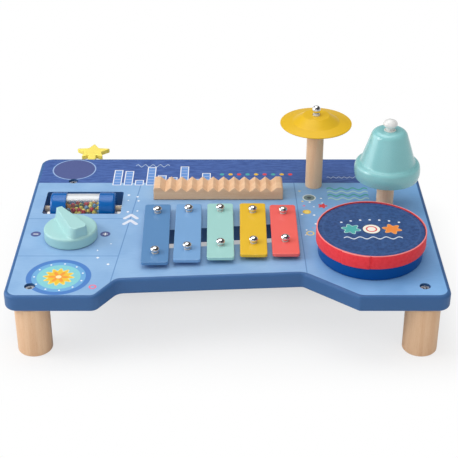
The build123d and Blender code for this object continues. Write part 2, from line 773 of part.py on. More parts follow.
with BuildPart() as bell_frame_screw:
    with BuildSketch(profile_plane(*BELL_AT)):
        with BuildLine():
            Polyline(
                (0, BELL_POST_H - FRAME_SCREW_IN),
                (FRAME_SCREW_R, BELL_POST_H - FRAME_SCREW_IN + 2.0),
                (FRAME_SCREW_R, BELL_POST_H + FRAME_T),
                (FRAME_SCREW_HEAD_R, BELL_POST_H + FRAME_T),
                (FRAME_SCREW_HEAD_R, BELL_POST_H + FRAME_T + 1.0),
                (0, BELL_POST_H + FRAME_T + 1.9),
                close=True,
            )
        make_face()
    revolve(axis=turned_axis(*BELL_AT))
save(bell_frame_screw.part, "bell_frame_screw")

with BuildPart() as bell_bush:
    with BuildSketch(profile_plane(*BELL_AT)):
        with BuildLine():
            Polyline(
                (NECK_D / 2 + NECK_GAP, BRIDGE_Z),
                (BELL_BUSH_R, BRIDGE_Z),
                (BELL_BUSH_R, BELL_TOP_Z - BELL_WALL - 1.5),
                (BELL_BUSH_HEAD_R, BELL_TOP_Z - BELL_WALL - 1.2),
                (BELL_BUSH_HEAD_R, BELL_TOP_Z - BELL_WALL),
                (BELL_HOLE_D / 2 - SEAT_GAP, BELL_TOP_Z - BELL_WALL),
                (BELL_HOLE_D / 2 - SEAT_GAP, BELL_TOP_Z),
                (BELL_HOLE_D / 2 + 0.7, BELL_TOP_Z),
                (NECK_D / 2 + NECK_GAP, BELL_TOP_Z + BELL_COLLAR_RISE),
                close=True,
            )
        make_face()
    revolve(axis=turned_axis(*BELL_AT))
save(bell_bush.part, "bell_bush")

# the button's underside clears the bush's collar by the travel and a little more
BUTTON_UNDER_Z = BELL_TOP_Z + BELL_COLLAR_RISE + PRESS_TRAVEL + HOLE_GAP
with BuildPart() as bell_button:
    with BuildSketch(profile_plane(*BELL_AT)):
        with BuildLine():
            cap_arc = dome_arc(BUTTON_D / 2, BUTTON_Z, BUTTON_Z + BUTTON_H / 2)
            neck = Polyline(
                cap_arc @ 1,
                (0, NECK_FOOT_Z),
                (NECK_D / 2, NECK_FOOT_Z),
                (NECK_D / 2, BUTTON_UNDER_Z),
            )
            ThreePointArc(neck @ 1, (BUTTON_D / 2 - 0.7, BUTTON_Z - 1.6), cap_arc @ 0)
        make_face()
    revolve(axis=turned_axis(*BELL_AT))
    with Locations(under_plane(*BELL_AT, NECK_FOOT_Z)):
        Hole(PLUNGER_D / 2 + SEAT_GAP, PLUNGER_IN_BUTTON + 0.5)
save(bell_button.part, "bell_button")

with BuildPart() as bell_plunger:
    with BuildSketch(board_plane(*BELL_AT, PLUNGER_TIP_Z)):
        Circle(PLUNGER_D / 2)
    extrude(amount=NECK_FOOT_Z + PLUNGER_IN_BUTTON - PLUNGER_TIP_Z)
    fillet(bell_plunger.faces().sort_by(Axis.Z)[0].edges(), 1.0)
save(bell_plunger.part, "bell_plunger")

with BuildPart() as bell_spring:
    spring_h = NECK_FOOT_Z - BRIDGE_Z - SPRING_WIRE
    spring_plane = board_plane(*BELL_AT, BRIDGE_Z + SPRING_WIRE / 2)
    with BuildLine(spring_plane) as coil:
        Helix(spring_h / SPRING_TURNS, spring_h, SPRING_R)
    with BuildSketch(Plane(origin=coil.line @ 0, z_dir=coil.line % 0)):
        Circle(SPRING_WIRE / 2)
    sweep(is_frenet=True)
save(bell_spring.part, "bell_spring")

# Hammer lever: the plunger pushes the short arm down, which throws the hammer
# up against the inside of the dome.
lever_plane = Plane(
    origin=(BELL_AT[0] + PIVOT_X, BOARD_Y + BELL_AT[1], TOP_Z + PIVOT_Z),
    x_dir=(1, 0, 0),
    z_dir=(0, -1, 0),
)
HAMMER_AT = (
    HAMMER_ARM * cos(radians(HAMMER_DROP)),
    -HAMMER_ARM * sin(radians(HAMMER_DROP)),
)
SHORT_TIP = (-SHORT_ARM, SHORT_ARM * tan(radians(SHORT_ARM_RISE)))
with BuildPart() as bell_striker:
    with BuildSketch(lever_plane):
        with BuildLine():
            Polyline(SHORT_TIP, (0, 0), HAMMER_AT)
        trace(line_width=LEVER_T)
        Circle(LEVER_BOSS_R)
        Circle(PIVOT_D / 2 + RUNNING_GAP, mode=Mode.SUBTRACT)
    extrude(amount=LEVER_W / 2, both=True)
    hammer_x = BELL_AT[0] + PIVOT_X + HAMMER_AT[0]
    with Locations(board_plane(hammer_x, BELL_AT[1], PIVOT_Z + HAMMER_AT[1])):
        Sphere(HAMMER_D / 2)
save(bell_striker.part, "bell_striker")

with BuildPart() as striker_pin:
    with BuildSketch(lever_plane):
        Circle(PIVOT_D / 2)
    extrude(amount=FRAME_HALF_W + 0.6, both=True)
save(striker_pin.part, "striker_pin")

# ---- drum ------------------------------------------------------------------
with BuildPart() as drum_shell:
    with BuildSketch(board_plane(*DRUM_AT)):
        Circle(DRUM_SHELL_R)
    extrude(amount=DRUM_SHELL_H)
    fillet(drum_shell.faces().sort_by(Axis.Z)[0].edges(), DRUM_SHELL_EDGE)
    with Locations(board_plane(*DRUM_AT, DRUM_SHELL_H)):
        Hole(DRUM_SHELL_BORE_R, DRUM_SHELL_H)
save(drum_shell.part, "drum_shell")

with BuildPart() as drum_base:
    with BuildSketch(board_plane(*DRUM_AT)):
        Circle(DRUM_SHELL_BORE_R - SEAT_GAP)
    extrude(amount=DRUM_BASE_H)
    with Locations(*[under_plane(x, y, 0) for x, y in DRUM_SCREWS]):
        Hole(SCREW_D / 2 + SEAT_GAP, DRUM_SCREW_BORE)
save(drum_base.part, "drum_base")

SKIN_R = DRUM_SHELL_R + SKIN_T
with BuildPart() as drum_skin:
    with BuildSketch(board_plane(*DRUM_AT, DRUM_SHELL_H - SKIN_SKIRT)):
        Circle(SKIN_R)
    extrude(amount=SKIN_SKIRT + SKIN_T)
    fillet(drum_skin.faces().sort_by(Axis.Z)[-1].edges(), SKIN_EDGE)
    with Locations(board_plane(*DRUM_AT, DRUM_SHELL_H)):
        Hole(DRUM_SHELL_R, SKIN_SKIRT + SKIN_T)
    with BuildSketch(board_plane(*DRUM_AT, DRUM_SHELL_H)):
        Circle(DRUM_SHELL_R)
    extrude(amount=SKIN_T)
save(drum_skin.part, "drum_skin")

with BuildPart() as drum_band:
    with BuildSketch(board_plane(*DRUM_AT, BAND_Z[0])):
        Circle(SKIN_R + BAND_T)
        Circle(SKIN_R, mode=Mode.SUBTRACT)
    extrude(amount=BAND_Z[1] - BAND_Z[0])
save(drum_band.part, "drum_band")

# ---- beater ----------------------------------------------------------------
STAR_Y = BOARD_D / 2 + STAR_OUT


def beater_plane(out):
    """Plane square to the beater's stick, out from the board's rear edge."""
    origin = (BEATER_X, BOARD_Y + BOARD_D / 2 + out, TOP_Z + BEATER_Z)
    return Plane(origin=origin, x_dir=(-1, 0, 0), z_dir=(0, 1, 0))


star_points = []
for i in range(10):
    r = STAR_R if i % 2 == 0 else STAR_INNER_R
    a = radians(90 + 36 * i)
    star_points.append((r * cos(a), STAR_SQUASH * r * sin(a)))
with BuildPart() as beater_star:
    with BuildSketch(board_plane(BEATER_X, STAR_Y, BEATER_Z - STAR_T / 2)):
        with BuildLine():
            FilletPolyline(*star_points, radius=[STAR_TIP_ROUND, STAR_NOTCH_ROUND] * 5, close=True)
        make_face()
        with Locations((0, -STICK_SHOULDER / 2)):
            Rectangle(STAR_NECK_W, STICK_SHOULDER)
    extrude(amount=STAR_T)
    fillet(beater_star.faces().filter_by(Axis.Z).edges(), STAR_EDGE)
    with BuildSketch(beater_plane(STAR_OUT - STICK_SHOULDER)):
        Circle(TENON_D / 2 + SEAT_GAP)
    extrude(amount=TENON_L + 0.5, mode=Mode.SUBTRACT)
save(beater_star.part, "beater_star")

with BuildPart() as beater_stick:
    with BuildSketch(beater_plane(-STICK_IN_BOARD)):
        Circle(STICK_D / 2)
    extrude(amount=STICK_IN_BOARD + STAR_OUT - STICK_SHOULDER)
    chamfer(beater_stick.faces().sort_by(Axis.Y)[0].edges(), 0.8)
    with BuildSketch(beater_plane(STAR_OUT - STICK_SHOULDER)):
        Circle(TENON_D / 2)
    extrude(amount=TENON_L)
save(beater_stick.part, "beater_stick")
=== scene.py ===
"""Looks of the musical activity table, built around its packed construction model.

Pieces are worked out in millimetres on the board: x to the player's right, y
away from the player and z up, from the middle of the board's top face.
`to_frame` turns them into the frame's metres.
"""
from __future__ import annotations

import logging
from dataclasses import dataclass
from enum import Enum
from math import cos, pi, radians, sin
from typing import Any, Sequence

import bmesh
import bpy
import numpy as np
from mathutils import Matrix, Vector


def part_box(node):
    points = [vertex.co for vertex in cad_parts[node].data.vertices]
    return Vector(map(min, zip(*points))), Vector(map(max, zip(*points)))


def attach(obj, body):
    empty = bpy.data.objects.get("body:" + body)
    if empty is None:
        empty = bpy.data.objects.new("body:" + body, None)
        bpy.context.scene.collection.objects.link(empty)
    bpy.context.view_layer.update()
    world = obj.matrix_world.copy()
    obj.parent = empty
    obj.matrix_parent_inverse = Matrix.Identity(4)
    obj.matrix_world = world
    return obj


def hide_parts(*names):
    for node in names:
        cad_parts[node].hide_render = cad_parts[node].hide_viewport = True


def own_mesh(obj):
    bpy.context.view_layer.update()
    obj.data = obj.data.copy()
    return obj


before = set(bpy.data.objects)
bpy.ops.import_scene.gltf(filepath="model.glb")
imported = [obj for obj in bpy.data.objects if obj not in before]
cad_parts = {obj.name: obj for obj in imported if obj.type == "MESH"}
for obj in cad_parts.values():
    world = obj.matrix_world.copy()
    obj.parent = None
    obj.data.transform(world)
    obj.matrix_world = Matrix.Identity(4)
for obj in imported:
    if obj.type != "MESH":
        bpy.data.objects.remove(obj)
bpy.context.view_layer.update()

log = logging.getLogger("musical_table")

MM = 0.001
# Metres: points nearer than this are one point, and edges shorter than this go.
MERGE_WITHIN = 1e-7
DISSOLVE_WITHIN = 1e-8
SHARP_ANGLE = radians(34)
TABLE = "table"


Place = tuple[float, float]


def board_origin() -> np.ndarray:
    """Middle of the board's top face, in the frame's metres."""
    low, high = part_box("tabletop")
    return np.array([(low.x + high.x) / 2, (low.y + high.y) / 2, high.z])


ORIGIN = board_origin()


def to_frame(points: np.ndarray) -> np.ndarray:
    """Board millimetres as the frame's metres."""
    return points * MM + ORIGIN


# ---- places taken from the construction model --------------------------------
class Side(Enum):
    """Side of the roller, as the sign of its x."""

    LEFT = -1
    RIGHT = 1


@dataclass(frozen=True)
class Span:
    """Box of a construction node at rest, in board millimetres."""

    low: np.ndarray
    high: np.ndarray

    @classmethod
    def of(cls, node: str) -> Span:
        """Box of one node, by the node's name."""
        low, high = (np.array(corner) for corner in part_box(node))
        return cls((low - ORIGIN) / MM, (high - ORIGIN) / MM)

    @property
    def middle(self) -> np.ndarray:
        """Middle of the box."""
        return (self.low + self.high) / 2

    @property
    def size(self) -> np.ndarray:
        """Length of the box along each axis."""
        return self.high - self.low

    @property
    def foot(self) -> np.ndarray:
        """Middle of the box's lowest face."""
        return np.array([*self.middle[:2], self.low[2]])

    def ends(self, side: Side) -> Place:
        """Where the box ends along x: first its inner end, then its outer one, on a side."""
        return (self.low[0], self.high[0])[:: side.value]


# Millimetres below a node's top that still count as its top.
TOP_DEPTH = 0.01


def axes_of(node: str) -> np.ndarray:
    """Upright axes of a node's turned solids, as rows of x and y.

    A turned solid closes on its axis, so its highest points are on it. Points
    nearer than TOP_DEPTH to the node's top are those points.

    Args:
        node: The node's name.

    Returns:
        One row for each solid.
    """
    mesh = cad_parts[node].data
    points = np.empty(len(mesh.vertices) * 3)
    mesh.vertices.foreach_get("co", points)
    points = (points.reshape(-1, 3) - ORIGIN) / MM
    tops = points[points[:, 2] > points[:, 2].max() - TOP_DEPTH]
    return np.unique(tops[:, :2].round(1), axis=0)


# ---- surfaces ----------------------------------------------------------------
class Axis(Enum):
    """Axis that a shape is turned about or drawn out along."""

    X = 0
    Y = 1
    Z = 2


@dataclass
class Shape:
    """Closed surface in board millimetres: points, and faces as lists of point numbers."""

    points: np.ndarray
    faces: list[list[int]]

    def __add__(self, other: Shape) -> Shape:
        """Both surfaces as one shape."""
        moved = [[corner + len(self.points) for corner in face] for face in other.faces]
        return Shape(np.vstack([self.points, other.points]), self.faces + moved)

    def moved(self, shift: Sequence[float]) -> Shape:
        """The same surface, moved by a shift in millimetres."""
        return Shape(self.points + np.asarray(shift), self.faces)

    def turned(self, degrees: float) -> Shape:
        """The same surface, turned about the upright axis through the origin.

        Args:
            degrees: Angle of the turn, counterclockwise from above.

        Returns:
            The turned surface.
        """
        angle = radians(degrees)
        turn = np.array([[cos(angle), sin(angle), 0], [-sin(angle), cos(angle), 0], [0, 0, 1]])
        return Shape(self.points @ turn, self.faces)


def sweep(rings: np.ndarray, closed: bool) -> Shape:
    """Surface through closed rings of points, with four-sided faces between neighbours.

    Args:
        rings: Points by ring, number on the ring and coordinate.
        closed: Whether the last ring joins the first. If not, each end is one flat face.

    Returns:
        The closed surface.
    """
    rows, columns = rings.shape[:2]
    first_rows = np.arange(rows if closed else rows - 1)
    row, column = np.meshgrid(first_rows, np.arange(columns), indexing="ij")
    next_row, next_column = (row + 1) % rows, (column + 1) % columns
    corners = [
        row * columns + column,
        row * columns + next_column,
        next_row * columns + next_column,
        next_row * columns + column,
    ]
    faces = np.stack(corners, -1).reshape(-1, 4).tolist()
    if not closed:
        faces += [list(range(columns))[::-1], list(range((rows - 1) * columns, rows * columns))]
    return Shape(rings.reshape(-1, 3), faces)


# Least values that keep a straight corner from dividing by zero.
NEARLY_ZERO = 1e-9
LEAST_TURN = 1e-6
# Millimetres: an outline's points that are nearer than this are one point.
LEAST_STEP = 1e-5


def rounded(
    corners: Sequence[Sequence[float]], radii: float | Sequence[float], steps: int = 6
) -> np.ndarray:
    """Closed outline with rounded corners.

    The arc at a corner touches both sides at radius / tan(h) from the corner,
    where h is half the angle between them. Its centre lies on their bisector,
    radius / sin(h) from the corner, and its spokes are swept evenly.

    Args:
        corners: The outline's corners.
        radii: One radius for all corners, or one for each. Zero keeps a corner sharp.
        steps: Divisions of each arc.

    Returns:
        The outline's points, row by row.
    """
    ring = np.asarray(corners, float)
    radius = np.broadcast_to(np.asarray(radii, float), len(ring))[:, None]
    back = np.roll(ring, 1, 0) - ring
    ahead = np.roll(ring, -1, 0) - ring
    back /= np.linalg.norm(back, axis=1, keepdims=True)
    ahead /= np.linalg.norm(ahead, axis=1, keepdims=True)
    half = np.arccos(np.clip((back * ahead).sum(1, keepdims=True), -1, 1)) / 2
    bisector = back + ahead
    bisector /= np.maximum(np.linalg.norm(bisector, axis=1, keepdims=True), NEARLY_ZERO)
    centre = ring + bisector * radius / np.sin(half)
    first = ring + back * radius / np.tan(half) - centre
    last = ring + ahead * radius / np.tan(half) - centre
    turn = np.maximum(pi - 2 * half, LEAST_TURN)[:, None]
    share = np.linspace(0, 1, steps + 1)[None, :, None]
    spokes = np.sin((1 - share) * turn) * first[:, None] + np.sin(share * turn) * last[:, None]
    points = (centre[:, None] + spokes / np.sin(turn)).reshape(-1, 2)
    apart = np.linalg.norm(points - np.roll(points, 1, 0), axis=1)
    return points[apart > LEAST_STEP]


def along(points: np.ndarray, axis: Axis) -> np.ndarray:
    """Points whose third value runs up, turned so that it runs along another axis."""
    return np.roll(points, axis.value + 1, axis=-1)


def lathe(outline: np.ndarray, segments: int = 96, axis: Axis = Axis.Z) -> Shape:
    """Closed outline turned about an axis through the origin.

    A point (r, h) of the outline at the angle a becomes r cos(a) and r sin(a)
    across the axis and h along it. The outline runs counterclockwise, out
    along its foot and up its outer side, so the faces point outwards.

    Args:
        outline: Rows of radius and height.
        segments: Divisions of the turn.
        axis: Axis of the turn.

    Returns:
        The turned surface.
    """
    angle = np.linspace(0, 2 * pi, segments, endpoint=False)
    radius, height = outline[:, :1], outline[:, 1:]
    points = np.stack(
        [radius * np.cos(angle), radius * np.sin(angle), height + 0 * angle], axis=-1
    )
    return sweep(along(points, axis), closed=True)


def stood(
    span: Span,
    corners: Sequence[Sequence[float]],
    radii: Sequence[float],
    segments: int = 96,
    steps: int = 6,
) -> Shape:
    """Upright turned solid with rounded corners, standing on the foot of a box.

    Args:
        span: The box.
        corners: Rows of radius and height of its outline.
        radii: Radius of the rounding at each corner.
        segments: Divisions of the turn.
        steps: Divisions of a rounding.

    Returns:
        The solid's surface, in its place.
    """
    return lathe(rounded(corners, radii, steps), segments).moved(span.foot)


def bored_pole(span: Span, rims: Sequence[float], bore: float, depth: float, segments: int) -> Shape:
    """Upright turned pole with a bore from above for its fastener.

    Args:
        span: Box of the pole's node.
        rims: Radii of the rims at its foot, at its top and at the bore's mouth.
        bore: Radius of the bore.
        depth: Depth of the bore.
        segments: Divisions of the turn.

    Returns:
        The pole's surface, in its place.
    """
    radius, tall = span.size[0] / 2, span.size[2]
    floor = tall - depth
    corners = [(0, 0), (radius, 0), (radius, tall), (bore, tall), (bore, floor), (0, floor)]
    return stood(span, corners, [0, *rims, 0, 0], segments)


def prism(outline: np.ndarray, low: float, high: float, edge: float, steps: int = 4) -> Shape:
    """Outline drawn out along z, with both rims rounded.

    A level of the rounding at the angle b stands edge (1 - sin b) inside the
    outline, along its normals, and edge (1 - cos b) from the flat face.

    Args:
        outline: Counterclockwise outline, rows of x and y.
        low: Height of the lower face.
        high: Height of the upper face.
        edge: Radius of the rims.
        steps: Divisions of each rounding.

    Returns:
        The closed solid's surface.
    """
    side = np.roll(outline, -1, 0) - outline
    side /= np.linalg.norm(side, axis=1, keepdims=True)
    normal = np.stack([side[:, 1], -side[:, 0]], -1)
    inward = -(normal + np.roll(normal, 1, 0))
    inward /= (inward**2).sum(1, keepdims=True) / 2
    angle = np.linspace(0, pi / 2, steps + 1)
    inset = edge * (1 - np.sin(angle))
    rise = edge * (1 - np.cos(angle))
    insets = np.concatenate([inset, inset[::-1]])[:, None, None]
    heights = np.concatenate([low + rise, (high - rise)[::-1]])
    levels = outline + insets * inward
    tall = np.broadcast_to(heights[:, None, None], (*levels.shape[:2], 1))
    return sweep(np.concatenate([levels, tall], -1), closed=False)


def ball(radius: float, segments: int = 8, rings: int = 5) -> Shape:
    """Coarse round ball about the origin, as a turned half circle.

    Args:
        radius: Its radius.
        segments: Divisions of the turn.
        rings: Divisions of the half circle.

    Returns:
        The ball's surface.
    """
    angle = np.linspace(-pi / 2, pi / 2, rings + 1)
    half_circle = radius * np.stack([np.cos(angle), np.sin(angle)], -1)
    return lathe(half_circle, segments)


STEPS_PER_TURN = 30
WIRE_SIDES = 10


def coil(radius: float, wire: float, turns: int, height: float) -> Shape:
    """Round wire wound about the upright axis, its ends cut square.

    Its middle line is (R cos a, R sin a, p a), p being the rise for each
    radian. A ring of the wire lies in the plane of two directions square to
    that line: outwards, (cos a, sin a, 0), and (p sin a, -p cos a, R), scaled
    to one.

    Args:
        radius: Radius of the middle line.
        wire: Radius of the wire.
        turns: Number of turns.
        height: Rise of the middle line.

    Returns:
        The wire's closed surface, from the height zero.
    """
    angle = np.linspace(0, 2 * pi * turns, STEPS_PER_TURN * turns + 1)[:, None]
    rise = height / (2 * pi * turns)
    flat = 0 * angle
    line = np.concatenate([radius * np.cos(angle), radius * np.sin(angle), rise * angle], -1)
    outward = np.concatenate([np.cos(angle), np.sin(angle), flat], -1)
    upward = np.concatenate([rise * np.sin(angle), -rise * np.cos(angle), flat + radius], -1)
    upward /= np.hypot(rise, radius)
    around = np.linspace(0, 2 * pi, WIRE_SIDES, endpoint=False)[None, :, None]
    rings = line[:, None] + wire * (np.cos(around) * outward[:, None] + np.sin(around) * upward[:, None])
    return sweep(rings, closed=False)


# ---- pieces ------------------------------------------------------------------
def fill_mesh(name: str, shape: Shape) -> bpy.types.Mesh:
    """Mesh of a closed shape, with its doubles merged and its faces outwards.

    Args:
        name: The mesh's name.
        shape: Surface in board millimetres.

    Returns:
        The mesh, in the frame's metres.
    """
    mesh = bpy.data.meshes.new(name)
    mesh.from_pydata(to_frame(shape.points).tolist(), [], shape.faces)
    work = bmesh.new()
    work.from_mesh(mesh)
    bmesh.ops.remove_doubles(work, verts=work.verts, dist=MERGE_WITHIN)
    bmesh.ops.dissolve_degenerate(work, edges=work.edges, dist=DISSOLVE_WITHIN)
    bmesh.ops.recalc_face_normals(work, faces=work.faces)
    work.to_mesh(mesh)
    work.free()
    return mesh


def smooth(mesh: bpy.types.Mesh) -> None:
    """Shades a mesh smooth, apart from its sharp edges."""
    mesh.polygons.foreach_set("use_smooth", np.ones(len(mesh.polygons), bool))
    mesh.set_sharp_from_angle(angle=SHARP_ANGLE)


def add_piece(
    name: str,
    mesh: bpy.types.Mesh,
    finish: bpy.types.Material,
    body: str,
    replaced: Sequence[str],
) -> bpy.types.Object:
    """Puts a finished piece into the scene.

    Args:
        name: The piece's name.
        mesh: Its mesh, in the frame's metres.
        finish: Its material.
        body: Body that it moves with.
        replaced: Construction nodes that it is shown instead of.

    Returns:
        The piece's object.
    """
    mesh.materials.clear()
    mesh.materials.append(finish)
    smooth(mesh)
    piece = bpy.data.objects.new(name, mesh)
    bpy.context.scene.collection.objects.link(piece)
    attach(piece, body)
    if replaced:
        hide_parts(*replaced)
    log.info("piece %s: %d faces, rides on %s", name, len(mesh.polygons), body)
    return piece


def make_piece(
    name: str, shape: Shape, finish: bpy.types.Material, body: str, slot: str, *replaced: str
) -> bpy.types.Object:
    """Makes a piece from a shape, with the same arguments as add_piece."""
    return add_piece(name, fill_mesh(name, shape), finish, body, replaced)


def dress(finish: bpy.types.Material, *nodes: str) -> None:
    """Gives construction nodes that keep their own shape a finish.

    Args:
        finish: The material.
        nodes: The nodes' names.
    """
    for node in nodes:
        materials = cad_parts[node].data.materials
        materials.clear()
        materials.append(finish)
        log.info("node %s: %s", node, finish.name)


# ---- shader toolkit ----------------------------------------------------------
Colour = tuple[float, float, float, float]
WHITE: Colour = (1.0, 1.0, 1.0, 1.0)


def srgb(red: int, green: int, blue: int) -> Colour:
    """Linear colour of an 8-bit screen colour, by the screen's standard curve.

    Args:
        red: Red from 0 to 255.
        green: Green from 0 to 255.
        blue: Blue from 0 to 255.

    Returns:
        The linear colour, with full cover.
    """
    share = np.array([red, green, blue]) / 255
    linear = np.where(share <= 0.04045, share / 12.92, ((share + 0.055) / 1.055) ** 2.4)
    return (*linear.tolist(), 1.0)


class Wire:
    """Value in a material's graph. Python's operators on it add Math nodes."""

    def __init__(self, graph: Graph, socket: bpy.types.NodeSocket) -> None:
        """Keeps the graph and the output socket that gives the value."""
        self.graph = graph
        self.socket = socket

    def also(self, output: int | str) -> Wire:
        """Another output of the node that gives this value."""
        return Wire(self.graph, self.socket.node.outputs[output])

    def __add__(self, other: Value) -> Wire:
        """Sum."""
        return self.graph.math("ADD", self, other)

    __radd__ = __add__

    def __sub__(self, other: Value) -> Wire:
        """Difference."""
        return self.graph.math("SUBTRACT", self, other)

    def __rsub__(self, other: Value) -> Wire:
        """Difference from a number, as in 1 - mask."""
        return self.graph.math("SUBTRACT", other, self)

    def __mul__(self, other: Value) -> Wire:
        """Product."""
        return self.graph.math("MULTIPLY", self, other)

    __rmul__ = __mul__

    def __truediv__(self, other: Value) -> Wire:
        """Quotient."""
        return self.graph.math("DIVIDE", self, other)

    def __abs__(self) -> Wire:
        """Size without its sign."""
        return self.graph.math("ABSOLUTE", self)

    def __gt__(self, other: Value) -> Wire:
        """One where this is greater, otherwise zero."""
        return self.graph.math("GREATER_THAN", self, other)

    def __lt__(self, other: Value) -> Wire:
        """One where this is less, otherwise zero."""
        return self.graph.math("LESS_THAN", self, other)


Value = float | Colour | tuple[float, float, float] | Wire


class Graph:
    """Node graph of one material or of the world."""

    def __init__(self, owner: bpy.types.Material | bpy.types.World) -> None:
        """Starts on an empty graph.

        Args:
            owner: What the graph belongs to.
        """
        owner.use_nodes = True
        self.owner = owner
        self.tree = owner.node_tree
        self.tree.nodes.clear()

    @classmethod
    def material(cls, name: str) -> Graph:
        """Graph of a new material with a name."""
        return cls(bpy.data.materials.new(name))

    def node(
        self,
        kind: str,
        settings: dict[str, Any] | None = None,
        sockets: dict[int | str, Value] | None = None,
        output: int | str = 0,
    ) -> Wire | None:
        """Adds a node.

        Args:
            kind: Blender's type name of the node.
            settings: Its own properties, set first.
            sockets: Values or links of its inputs.
            output: The output to give back.

        Returns:
            That output, or None for a node that has none.
        """
        made = self.tree.nodes.new(kind)
        for key, value in (settings or {}).items():
            setattr(made, key, value)
        for key, value in (sockets or {}).items():
            if isinstance(value, Wire):
                self.tree.links.new(value.socket, made.inputs[key])
            else:
                made.inputs[key].default_value = value
        return Wire(self, made.outputs[output]) if made.outputs else None

    def math(self, operation: str, *values: Value, clamp: bool = False) -> Wire:
        """Math node on one to three values."""
        settings = {"operation": operation, "use_clamp": clamp}
        return self.node("ShaderNodeMath", settings, dict(enumerate(values)))

    def vector(self, operation: str, *values: Value, output: int = 0) -> Wire:
        """Vector Math node on one or two vectors."""
        return self.node("ShaderNodeVectorMath", {"operation": operation}, dict(enumerate(values)), output)

    def mix(self, share: Value, low: Value, high: Value) -> Wire:
        """Blend of two colours, low at share 0 and high at share 1."""
        return self.node("ShaderNodeMix", {"data_type": "RGBA"}, {0: share, 6: low, 7: high}, 2)

    def place(self) -> Wire:
        """Position on the piece in board millimetres."""
        metres = self.node("ShaderNodeTexCoord", output="Object")
        return self.stretch(self.vector("SUBTRACT", metres, tuple(ORIGIN)), (1 / MM, 1 / MM, 1 / MM))

    def axes(self, vector: Wire) -> tuple[Wire, Wire, Wire]:
        """The three numbers of a vector."""
        split = self.node("ShaderNodeSeparateXYZ", sockets={0: vector})
        return split, split.also(1), split.also(2)

    def point(self, x: Value, y: Value) -> Wire:
        """Vector of two numbers, level with the board."""
        return self.node("ShaderNodeCombineXYZ", {}, {0: x, 1: y})

    def outside(self, across: Wire, deep: Wire) -> Wire:
        """Distance from a corner: the length of what is above zero of two numbers."""
        above = [self.math("MAXIMUM", part, 0.0) for part in (across, deep)]
        return self.vector("LENGTH", self.point(*above), output=1)

    def noise(self, where: Wire, scale: float, detail: float = 2.0, roughness: float = 0.5) -> Wire:
        """Soft noise, about 0.5 on average.

        Args:
            where: Position in millimetres.
            scale: Waves in a millimetre.
            detail: Finer layers on top.
            roughness: Strength of the finer layers.

        Returns:
            The noise.
        """
        sockets = {"Vector": where, "Scale": scale, "Detail": detail, "Roughness": roughness}
        return self.node("ShaderNodeTexNoise", {}, sockets)

    def stretch(self, where: Wire, factors: tuple[float, float, float]) -> Wire:
        """Position scaled along each axis."""
        return self.vector("MULTIPLY", where, factors)

    def band(self, value: Wire, low: float, high: float) -> Wire:
        """Smooth step from 0 at low to 1 at high."""
        settings = {"interpolation_type": "SMOOTHSTEP"}
        return self.node("ShaderNodeMapRange", settings, {0: value, 1: low, 2: high})

    def bump(self, height: Wire, depth: float) -> Wire:
        """Normal of a surface with small heights on it.

        Args:
            height: Height as a share from 0 to 1.
            depth: Full height in millimetres.

        Returns:
            The normal.
        """
        sockets = {"Strength": 1.0, "Distance": depth * MM, "Height": height}
        return self.node("ShaderNodeBump", {}, sockets)

    def blend(self, share: Wire, first: Wire, second: Wire) -> Wire:
        """Mix of two shaders, by the share of the second."""
        return self.node("ShaderNodeMixShader", {}, {0: share, 1: first, 2: second})

    def surface(self, shader: Wire) -> bpy.types.Material:
        """Closes the material with a shader and gives it back."""
        self.node("ShaderNodeOutputMaterial", {}, {"Surface": shader})
        return self.owner

    def principled(self, **sockets: Value) -> Wire:
        """Principled shader, its inputs named with underscores for spaces."""
        named = {key.replace("_", " "): value for key, value in sockets.items()}
        return self.node("ShaderNodeBsdfPrincipled", {}, named)

    def finish(self, **sockets: Value) -> bpy.types.Material:
        """Closes the material with a Principled shader.

        Args:
            sockets: Its inputs, with underscores for spaces.

        Returns:
            The material.
        """
        return self.surface(self.principled(**sockets))


# ---- finishes ----------------------------------------------------------------
def shade(colour: Colour, factor: float) -> Colour:
    """Colour made darker or lighter by a factor, up to full strength."""
    return (*(min(1.0, factor * share) for share in colour[:3]), 1.0)


def uneven(level: Value, spread: float, noise: Wire) -> Wire:
    """Level that a noise about 0.5 moves up and down, by a spread in all."""
    return level + spread * (noise - 0.5)


@dataclass(frozen=True)
class Lacquer:
    """Even coat of paint over wood or metal."""

    name: str
    colour: Colour
    roughness: float = 0.38
    coat: float = 0.25
    coat_roughness: float = 0.18
    mottle: float = 0.05
    peel: float = 0.012
    specular: float = 0.35

    def make(self) -> bpy.types.Material:
        """Paint that is a little uneven in shade, gloss and height.

        Returns:
            The material.
        """
        graph = Graph.material(self.name)
        where = graph.place()
        cloud = graph.noise(where, scale=0.06, detail=3)
        grit = graph.noise(where, scale=1.6, detail=2)
        dark, light = shade(self.colour, 1 - self.mottle), shade(self.colour, 1 + self.mottle)
        return graph.finish(
            Base_Color=graph.mix(cloud, dark, light),
            Roughness=uneven(self.roughness, 0.1, grit),
            Specular_IOR_Level=self.specular,
            Coat_Weight=self.coat,
            Coat_Roughness=self.coat_roughness,
            Normal=graph.bump(grit, self.peel),
        )


